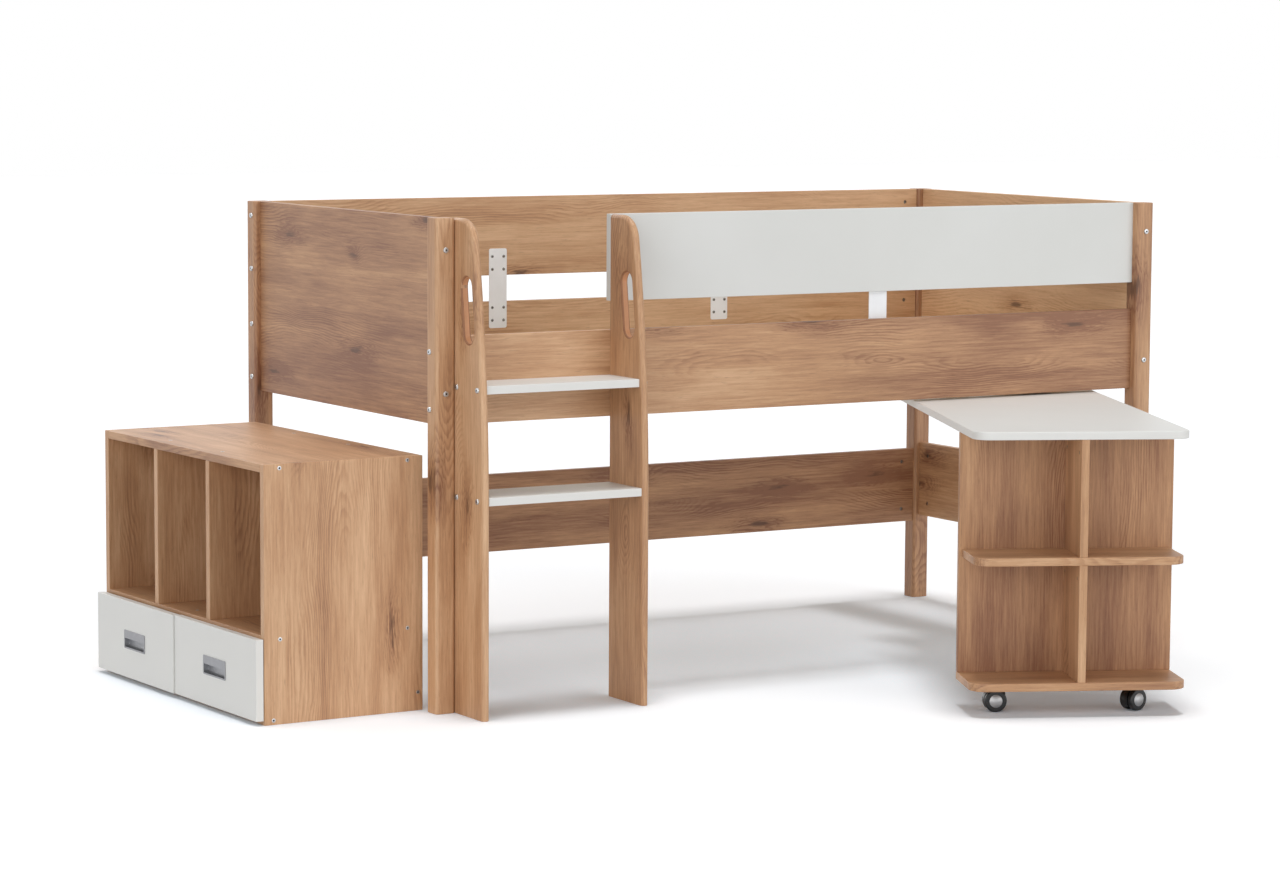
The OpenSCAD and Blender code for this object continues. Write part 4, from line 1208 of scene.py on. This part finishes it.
@dataclass(frozen=True)
class Cabinet:
    """The cabinet's boards, back and flush screws. Sizes are in millimetres, in its own frame."""

    width: float = 830.0
    depth: float = 390.0
    height: float = 569.5
    board: float = 18.0
    screw_in: float = 38.0
    rail_screws: tuple[tuple[float, float], ...] = ((21.5, 10.0), (378.0, 41.0))
    cubby_floor_z: float = 196.0

    def place(self, point: Point) -> Vector:
        """Turns a point of the cabinet's own frame into the CAD frame."""
        return CABINET_CORNER + Matrix.Rotation(CABINET_TURN, 3, "Z") @ (Vector(point) * MM)

    def screw_places(self) -> list[Seat]:
        """Works out where the flush screws lie.

        Returns:
            Seat and direction of each screw, in metres.
        """
        spots: list[Spot] = []
        half = self.board / 2
        depths = (self.screw_in, self.depth - self.screw_in)
        levels = (self.height - half, self.cubby_floor_z - half)
        for y, way in ((0.0, 1), (self.width, -1)):
            spots += [((x, y, z), (0, way, 0)) for x in depths for z in levels]
            spots += [((x, y, z), (0, way, 0)) for x, z in self.rail_screws]
        cubby = (self.width - 4 * self.board) / 3
        dividers = [self.board + i * cubby + (i - 1) * self.board + half for i in (1, 2)]
        spots += [((x, y, self.height), (0, 0, -1)) for x in depths for y in dividers]
        for x in (self.screw_in, self.depth - 3 * self.screw_in):
            spots.append(((x, self.width / 2, self.cubby_floor_z), (0, 0, -1)))
        turn = Matrix.Rotation(CABINET_TURN, 3, "Z")
        return [(self.place(point), turn @ Vector(way)) for point, way in spots]

    def make_screws(self) -> None:
        """Makes the flush screws: a bright ring of countersunk head round a hexagon socket in painted shade.
        """
        screw = Fastener(
            "flush_screw",
            head=((4.3, -0.25), (4.6, -0.2), (4.7, 0.0), (3.6, 1.2)),
            recess=Recess.HEXAGON,
            recess_size=4.0,
            recess_depth=2.4,
            shank_d=3.9,
            length=30.0,
        )
        screw.set_in(self.screw_places(), ZINC_PLATE, 1.0, "cabinet", "cabinet_screws")

    def build(self) -> None:
        """Builds and dresses the cabinet."""
        upright = ("side_near", "side_far", "dividers", "partition", "back")
        lying = ("top", "shelf", "front_rail", "rear_rail")
        for names, grain in ((upright, Grain.ALONG_Z), (lying, Grain.ALONG_Y)):
            for name in names:
                node = f"cabinet_{name}"
                edged(node, "cabinet", oak(node, grain, CABINET_TURN))
        dress(["drawer_runners"], POWDER_COAT.material())
        self.make_screws()


@dataclass(frozen=True)
class Drawer:
    """One drawer: its white front, foil-wrapped box and satin cup pull. The flange is in millimetres."""

    side: str
    flange: float = 1.7

    def build(self) -> None:
        """Builds and dresses the drawer."""
        body = f"drawer_{self.side}"
        edged(f"{body}_front", body, WHITE_LAMINATE.material())
        dress([f"{body}_box"], WHITE_FOIL.material())
        pull = edged(f"{body}_pull", body, SATIN_CHROME.material(), 0.4, 2)
        out = Matrix.Rotation(CABINET_TURN, 3, "Z") @ Vector((-1, 0, 0))
        front = max(vertex.co.dot(out) for vertex in pull.data.vertices)
        refinish(pull, CUP_INSIDE.material(), lambda place, normal: front - place.dot(out) > self.flange * MM)


# ------------------------------------------------------------------ studio


@dataclass(frozen=True)
class SoftLamp:
    """A wide lamp so far away that it lights floor and bed evenly. Angles are in degrees."""

    name: str
    azimuth: float
    elevation: float
    spread: float
    level: float
    away: float = 6.0

    def build(self) -> None:
        """Hangs the lamp. Its level is the share of white that a white surface facing it would give back."""
        azimuth, elevation = math.radians(self.azimuth), math.radians(self.elevation)
        flat = math.cos(elevation)
        way = Vector((math.sin(azimuth) * flat, -math.cos(azimuth) * flat, math.sin(elevation)))
        lamp = bpy.data.lights.new(self.name, "SUN")
        lamp.angle = math.radians(self.spread)
        lamp.energy = self.level * math.pi
        holder = bpy.data.objects.new(self.name, lamp)
        holder.location = way * self.away
        holder.rotation_euler = way.to_track_quat("Z", "Y").to_euler()
        bpy.context.scene.collection.objects.link(holder)


@dataclass(frozen=True)
class Studio:
    """Pale floor, white surround, soft lamps and the camera."""

    camera_at: tuple[float, float, float] = (-4.743324, -7.661995, 1.477722)
    yaw: float = 30.785658
    pitch: float = -6.125182
    roll: float = 0.312955
    focal_px: float = 3714.1617
    frame_px: float = 1280.0
    sensor_mm: float = 36.0
    clip_end: float = 200.0
    floor_half: float = 30.0
    floor_cells: int = 8
    shade_reach: float = 1.5
    ambient: float = 0.20
    brightener: str = "#757B82"

    def place_camera(self) -> None:
        """Sets the camera that matches the photograph."""
        camera = bpy.data.cameras.new("camera")
        camera.sensor_width = self.sensor_mm
        camera.lens = self.focal_px / self.frame_px * self.sensor_mm
        camera.clip_end = self.clip_end
        yaw, pitch, roll = (math.radians(a) for a in (self.yaw, self.pitch, self.roll))
        ahead = Vector((math.sin(yaw) * math.cos(pitch), math.cos(yaw) * math.cos(pitch), math.sin(pitch)))
        right = Vector((math.cos(yaw), -math.sin(yaw), 0))
        up = right.cross(ahead)
        rolled_right = right * math.cos(roll) + up * math.sin(roll)
        rolled_up = -right * math.sin(roll) + up * math.cos(roll)
        rotation = Matrix((rolled_right, rolled_up, -ahead)).transposed()
        holder = bpy.data.objects.new("camera", camera)
        holder.matrix_world = Matrix.Translation(self.camera_at) @ rotation.to_4x4()
        bpy.context.scene.collection.objects.link(holder)
        bpy.context.scene.camera = holder

    def lay_floor(self) -> None:
        """Lays the floor: pale paper that the camera sees as white, apart from the lamps' shadows on it and
        the painted shade where things stand close over it.
        """
        shape = bmesh.new()
        cells = self.floor_cells
        bmesh.ops.create_grid(shape, x_segments=cells, y_segments=cells, size=self.floor_half)
        mesh = mesh_of(shape, "floor")
        material, tree = new_material("white background paper")
        mottle = noise(tree, object_place(tree), 3.0, 2.0)
        paper = add(tree, "ShaderNodeBsdfDiffuse", {"Color": blend(tree, mottle, "#E9E9E9", "#EAEAEA")})
        # Painted shade: where something stands close over the paper, ambient occlusion darkens its colour and
        # turns it bluer, which cancels the warm light that the wood throws back
        reach = {"Distance": self.shade_reach}
        near = add(tree, "ShaderNodeAmbientOcclusion", reach, samples=8).outputs["AO"]
        shaded = ramp(tree, near, (0.1, "#EAF3FC"), (0.42, "#DFE7EF"), (0.56, "#E8EAEC"), (0.72, "#FFFFFF"))
        shade_painted_paper = add(tree, "ShaderNodeBsdfDiffuse", {"Color": shaded})
        # The brightener in the paper gives back some more light, and more of it blue
        lift = add(tree, "ShaderNodeBsdfDiffuse", {"Color": linear(self.brightener)})
        seen = add(tree, "ShaderNodeAddShader", {0: shade_painted_paper.outputs[0], 1: lift.outputs[0]})
        direct = seen_by(tree, "Is Camera Ray", "Is Glossy Ray")
        mixed = add(tree, "ShaderNodeMixShader", {0: direct, 1: paper.outputs[0], 2: seen.outputs[0]})
        add(tree, "ShaderNodeOutputMaterial", {"Surface": mixed.outputs[0]})
        mesh.materials.append(material)
        floor = link("floor", mesh)

    def set_world(self) -> None:
        """Makes the surround: soft grey light that the camera, gloss and glass see as white."""
        world = bpy.data.worlds.new("studio")
        bpy.context.scene.world = world
        world.use_nodes = True
        tree = world.node_tree
        tree.nodes.clear()
        seen = seen_by(tree, "Is Camera Ray", "Is Glossy Ray", "Is Transmission Ray")
        strength = spread_over(tree, seen, self.ambient, 1.0)
        sky = add(tree, "ShaderNodeBackground", {"Color": (1, 1, 1, 1), "Strength": strength})
        add(tree, "ShaderNodeOutputWorld", {"Surface": sky.outputs[0]})

    def build(self) -> None:
        """Builds the studio."""
        self.place_camera()
        self.lay_floor()
        self.set_world()
        for lamp in (
            SoftLamp("soft_lamp_right", 22.0, 14.0, 50.0, 0.36),
            SoftLamp("soft_lamp_left", -58.0, 14.0, 50.0, 0.39),
            SoftLamp("soft_lamp_back", 180.0, 18.0, 40.0, 0.22),
            SoftLamp("soft_lamp_top", 0.0, 89.0, 15.0, 0.47),
        ):
            lamp.build()
        bpy.context.scene.view_settings.view_transform = "Standard"


def main() -> None:
    """Builds the studio and every sub-assembly in order."""
    logging.basicConfig(level=logging.INFO, format="%(message)s")
    for part in (
        Studio(),
        BedFrame(),
        Ladder(),
        Desk(),
        Castor("left"),
        Castor("right"),
        Cabinet(),
        Drawer("left"),
        Drawer("right"),
    ):
        part.build()
        LOG.info("%s is built", type(part).__name__)


if __name__ == "__main__":
    main()
